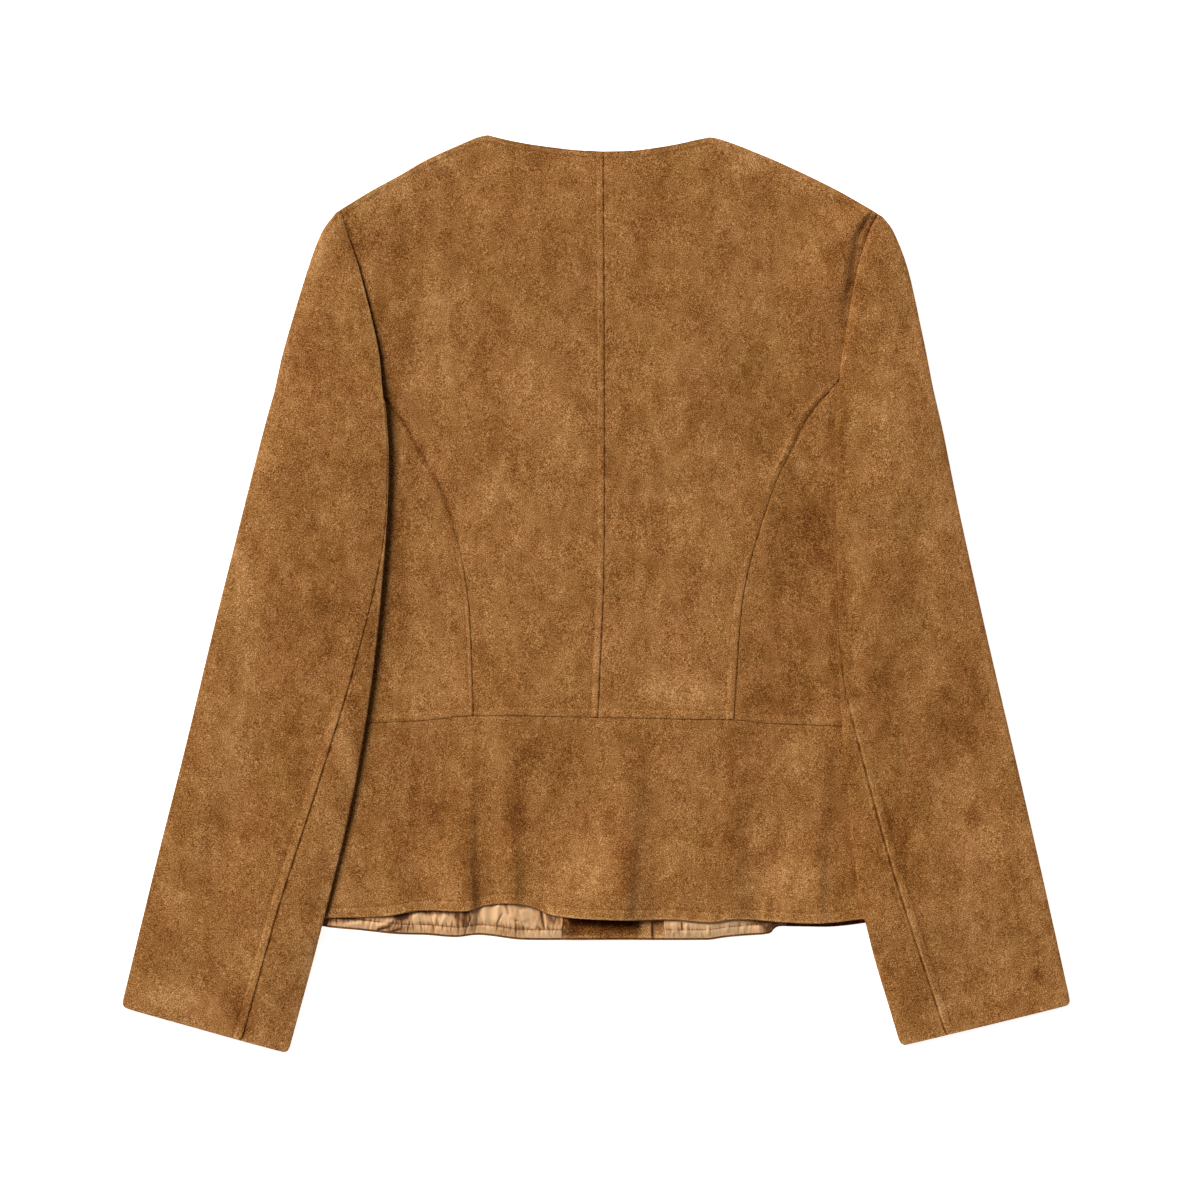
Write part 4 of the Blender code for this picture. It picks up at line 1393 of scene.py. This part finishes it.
def sew_row(name, tree, path, pitch, length, width, thread):
    """A row of stitches along a path of points in millimetres, as a plain mesh."""
    guide = bpy.data.meshes.new(f"{name}_path")
    edges = [(k, k + 1) for k in range(len(path) - 1)]
    guide.from_pydata((np.asarray(path) * MM).tolist(), edges, [])
    carrier = add_piece(f"{name}_carrier", guide)
    row = carrier.modifiers.new("stitch_row", "NODES")
    row.node_group = tree
    sizes = {"Stitch pitch": pitch, "Stitch length": length, "Thread width": width}
    for label, value in sizes.items():
        row[input_name(tree, label)] = value * MM
    row[input_name(tree, "Thread")] = thread
    graph = bpy.context.evaluated_depsgraph_get()
    mesh = bpy.data.meshes.new_from_object(carrier.evaluated_get(graph))
    mesh.name = name
    bpy.data.objects.remove(carrier, do_unlink=True)
    mesh.shade_smooth()
    return add_piece(name, mesh)


HEM_STITCH_ENDS, HEM_PATH_POINTS, LINING_PATH_POINTS = (-222, 231), 400, 160
HEM_STITCH_DEPTH, LINING_STITCH_DEPTH = 0.1, 0.25


def hem_stitch_path():
    """On the line where the turned-up hem is sewn, a little into the cloth's upper face."""
    xs = np.linspace(*HEM_STITCH_ENDS, HEM_PATH_POINTS)
    ys = hem_line_y(xs) + HEM_STITCH_REACH
    zs = back_height(xs, ys) + VELOUR - HEM_STITCH_DEPTH
    return np.stack([xs, ys, zs], axis=-1)


def lining_stitch_path(side, start, end):
    """On the line that the lining is gathered on, from one share of the front's hem to another."""
    hem = divide(FRONT_PEPLUMS[side][2], np.linspace(start, end, LINING_PATH_POINTS))
    x, y = hem[:, 0], hem[:, 1] + LINING_BAND + (1 - HEM_BAND_FOOT) * FRONT_PEPLUM_HEIGHT
    top = on_front(side, x, y) + SATIN + lining_fill(x, y, LINING_BAND)
    return np.stack([x, y, top - LINING_STITCH_DEPTH * past_hem(x, y)], axis=-1)


# Finishes.


def srgb(red, green, blue):
    """A colour as eight-bit numbers, turned to the linear values that a shader takes."""
    steps = np.array([red, green, blue]) / 255
    return tuple(np.where(steps <= 0.04045, steps / 12.92, ((steps + 0.055) / 1.055) ** 2.4))


def new_material(name):
    material = bpy.data.materials.new(name)
    material.use_nodes = True
    return material, material.node_tree, material.node_tree.nodes["Principled BSDF"]


def set_inputs(node, values):
    for name, value in values.items():
        node.inputs[name].default_value = value


def noise_at(tree, vector, scale, detail, roughness=0.55, distortion=0.0):
    texture = tree.nodes.new("ShaderNodeTexNoise")
    values = {"Scale": scale, "Detail": detail, "Roughness": roughness, "Distortion": distortion}
    set_inputs(texture, values)
    tree.links.new(vector, texture.inputs["Vector"])
    return texture.outputs["Fac"]


def read_nap_and_light(tree):
    """The meshes' shift of tone: the pile's marks, with painted light and painted shade."""
    nap_and_light = tree.nodes.new("ShaderNodeAttribute")
    nap_and_light.attribute_name = "nap_and_light"
    return nap_and_light.outputs["Fac"]


def combine(tree, operation, *values):
    """A Math node over sockets and plain numbers."""
    node = tree.nodes.new("ShaderNodeMath")
    node.operation = operation
    for socket, value in zip(node.inputs, values):
        if isinstance(value, bpy.types.NodeSocket):
            tree.links.new(value, socket)
        else:
            socket.default_value = value
    return node.outputs["Value"]


def ramp_of(tree, factor, stops):
    ramp = tree.nodes.new("ShaderNodeValToRGB")
    elements = ramp.color_ramp.elements
    while len(elements) < len(stops):
        elements.new(0.5)
    for element, (place, colour) in zip(elements, stops):
        element.position = place
        element.color = (*srgb(*colour), 1.0)
    tree.links.new(factor, ramp.inputs["Fac"])
    return ramp.outputs["Color"]


def place_on(tree, scale=(1.0, 1.0, 1.0)):
    """The piece's own coordinates, stretched."""
    coordinates = tree.nodes.new("ShaderNodeTexCoord")
    mapping = tree.nodes.new("ShaderNodeMapping")
    mapping.inputs["Scale"].default_value = scale
    tree.links.new(coordinates.outputs["Object"], mapping.inputs["Vector"])
    return mapping.outputs["Vector"]


def raise_bump(tree, shader, height, strength, distance):
    bumps = tree.nodes.new("ShaderNodeBump")
    set_inputs(bumps, {"Strength": strength, "Distance": distance})
    tree.links.new(height, bumps.inputs["Height"])
    tree.links.new(bumps.outputs["Normal"], shader.inputs["Normal"])


VELOUR_SHADES = (
    (0.0, (69, 29, 2)),
    (0.25, (106, 60, 17)),
    (0.5, (146, 95, 42)),
    (0.75, (188, 136, 81)),
    (1.0, (228, 178, 122)),
)


def velour_finish():
    """Short pile: patches where it lies another way, flecks, fine grain, painted light and shade.
    """
    material, tree, shader = new_material("brushed_velour")
    plain, tall = place_on(tree), place_on(tree, (1.0, 0.62, 1.0))
    patches = noise_at(tree, tall, 34, 4, 0.62, 0.5)
    mottles = noise_at(tree, tall, 105, 4, 0.66, 0.3)
    flecks = noise_at(tree, plain, 330, 3, 0.6)
    grain = noise_at(tree, plain, 1400, 2, 0.75)
    nap_and_light = read_nap_and_light(tree)
    blotches = noise_at(tree, tall, 150, 5, 0.7, 0.6)
    broken = combine(tree, "MULTIPLY_ADD", blotches, 7.0, -2.5)
    broken.node.use_clamp = True
    # The marks with the painted light and shade from the meshes, broken up in blotches.
    nap_and_light_shift = combine(tree, "MULTIPLY", nap_and_light, combine(tree, "ADD", broken, 0.35))
    tone = combine(tree, "MULTIPLY_ADD", nap_and_light_shift, 0.11, 0.5)
    for layer, weight in ((patches, 0.4), (mottles, 0.45), (flecks, 0.26), (grain, 2.4)):
        centred = combine(tree, "SUBTRACT", layer, 0.5)
        tone = combine(tree, "MULTIPLY_ADD", centred, weight, tone)
    warmth = noise_at(tree, plain, 20, 4, 0.6)
    dye = tree.nodes.new("ShaderNodeHueSaturation")
    tree.links.new(combine(tree, "MULTIPLY_ADD", warmth, -0.016, 0.507), dye.inputs["Hue"])
    tree.links.new(ramp_of(tree, tone, VELOUR_SHADES), dye.inputs["Color"])
    tree.links.new(dye.outputs["Color"], shader.inputs["Base Color"])
    pile = combine(tree, "MULTIPLY_ADD", flecks, 0.6, grain)
    raise_bump(tree, shader, pile, 0.5, 0.0006)
    rough = combine(tree, "MULTIPLY_ADD", flecks, 0.2, 0.78)
    tree.links.new(rough, shader.inputs["Roughness"])
    sheen = combine(tree, "MULTIPLY_ADD", nap_and_light, 0.14, 0.15)
    sheen.node.use_clamp = True
    tree.links.new(sheen, shader.inputs["Sheen Weight"])
    set_inputs(shader, {"Specular IOR Level": 0.1, "Sheen Roughness": 0.5})
    shader.inputs["Sheen Tint"].default_value = (*srgb(232, 190, 140), 1.0)
    return material


LINING_SHADES = (
    (0.0, (100, 62, 32)),
    (0.22, (160, 111, 69)),
    (0.5, (206, 157, 109)),
    (0.8, (228, 182, 134)),
)


def satin_finish():
    """Thin peach lining with a soft gloss, a fine rib and small pulls along it."""
    material, tree, shader = new_material("peach_satin")
    rib = noise_at(tree, place_on(tree, (3.6, 0.7, 1.0)), 230, 3, 0.6, 0.4)
    cloud = noise_at(tree, place_on(tree), 90, 3, 0.5)
    tone = combine(tree, "MULTIPLY_ADD", cloud, 0.4, combine(tree, "MULTIPLY_ADD", rib, 1.3, -0.45))
    nap_and_light = read_nap_and_light(tree)
    # The painted shade and light that the meshes carry darken and lighten the lining's tone.
    tone = combine(tree, "MULTIPLY_ADD", nap_and_light, 0.4, combine(tree, "ADD", tone, 0.27))
    tree.links.new(ramp_of(tree, tone, LINING_SHADES), shader.inputs["Base Color"])
    raise_bump(tree, shader, rib, 0.35, 0.0004)
    shine = combine(tree, "MULTIPLY_ADD", cloud, 0.2, 0.3)
    tree.links.new(shine, shader.inputs["Roughness"])
    set_inputs(shader, {"Specular IOR Level": 0.26, "Sheen Weight": 0.06})
    return material


def thread_finish(name, dark, light):
    material, tree, shader = new_material(name)
    twist = noise_at(tree, place_on(tree, (1.0, 3.0, 1.0)), 900, 1)
    tree.links.new(ramp_of(tree, twist, ((0.3, dark), (0.7, light))), shader.inputs["Base Color"])
    raise_bump(tree, shader, twist, 0.3, 0.0002)
    shader.inputs["Roughness"].default_value = 0.6
    return material


def floor_finish():
    """A white sweep lit through from below, so that shadows on it stay pale."""
    material, tree, shader = new_material("pale_floor")
    cloud = noise_at(tree, place_on(tree), 2.0, 2)
    paint = ramp_of(tree, cloud, ((0.3, (248, 248, 248)), (0.7, (252, 252, 252))))
    tree.links.new(paint, shader.inputs["Base Color"])
    tree.links.new(paint, shader.inputs["Emission Color"])
    set_inputs(shader, {"Emission Strength": 0.9, "Roughness": 0.9, "Specular IOR Level": 0.1})
    return material


# Stage, light and camera.

CAMERA_HEIGHT, CAMERA_LENS, SENSOR = 3.006, 120.0, 36.0
VIEW_CENTRE = (3.4, -5.25)
FLOOR_HALF, FLOOR_DROP = 8.0, 0.0004
# The azimuth is measured from +X towards +Y, where the light comes from.
SUN_STRENGTH, SUN_SPREAD, SUN_AZIMUTH, SUN_ELEVATION = 4.02, 32, 135, 42


def make_floor():
    mesh = bpy.data.meshes.new("floor")
    corners = ((-1, -1), (1, -1), (1, 1), (-1, 1))
    points = [(x * FLOOR_HALF, y * FLOOR_HALF, -FLOOR_DROP) for x, y in corners]
    mesh.from_pydata(points, [], [(0, 1, 2, 3)])
    mesh.materials.append(floor_finish())
    floor = add_piece("floor", mesh)


def add_sun():
    """A broad, soft key light."""
    data = bpy.data.lights.new("key_light", "SUN")
    data.energy = SUN_STRENGTH
    data.angle = math.radians(SUN_SPREAD)
    light = add_piece("key_light", data)
    light.rotation_euler = (0.0, math.radians(90 - SUN_ELEVATION), math.radians(SUN_AZIMUTH))


def paint_studio():
    """Dim from above and pale towards the horizon, like a white room under a dark ceiling."""
    world = bpy.data.worlds.new("studio")
    world.use_nodes = True
    tree = world.node_tree
    background = tree.nodes["Background"]
    direction = tree.nodes.new("ShaderNodeTexCoord")
    parts = tree.nodes.new("ShaderNodeSeparateXYZ")
    tree.links.new(direction.outputs["Generated"], parts.inputs["Vector"])
    stops = ((0.0, (255, 255, 255)), (0.05, (255, 255, 255)), (0.22, (90, 90, 90)))
    tree.links.new(ramp_of(tree, parts.outputs["Z"], stops), background.inputs["Color"])
    bpy.context.scene.world = world


def light_the_stage():
    add_sun()
    paint_studio()
    bpy.context.scene.view_settings.view_transform = "Standard"


def place_camera():
    data = bpy.data.cameras.new("camera")
    data.lens = CAMERA_LENS
    data.sensor_width = SENSOR
    data.clip_start, data.clip_end = 0.1, 50.0
    camera = add_piece("camera", data)
    camera.location = (VIEW_CENTRE[0] * MM, VIEW_CENTRE[1] * MM, CAMERA_HEIGHT)
    bpy.context.scene.camera = camera


# The jacket.


def make_jacket():
    velour, satin = velour_finish(), satin_finish()
    pieces = {
        **make_backs(velour),
        **make_side_backs(velour),
        **make_peplum_back(velour),
        **make_fronts(velour),
        **make_peplum_fronts(velour),
        **make_hem_bands(velour, satin),
        **make_sleeve("left", velour),
        **make_sleeve("right", velour),
    }
    for node, piece in pieces.items():
        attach(piece, "root")
        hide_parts(node)


def make_stitches():
    tree = stitch_tree()
    brown = thread_finish("brown_thread", (96, 60, 28), (128, 84, 42))
    tan = thread_finish("tan_thread", (144, 92, 50), (176, 120, 70))
    hem, gathered = (2.4, 1.5, 0.42, brown), (2.0, 1.7, 0.8, tan)
    left, right = lining_stitch_path("left", 0.21, 0.745), lining_stitch_path("right", 0.38, 0.745)
    for name, path, sewn, slot in (
        ("hem_stitches", hem_stitch_path(), hem, "velour"),
        ("lining_stitches_left", left, gathered, "lining_satin"),
        ("lining_stitches_right", right, gathered, "lining_satin"),
    ):
        row = sew_row(name, tree, path, *sewn)
        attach(row, "root")


make_floor()
light_the_stage()
place_camera()
make_jacket()
make_stitches()
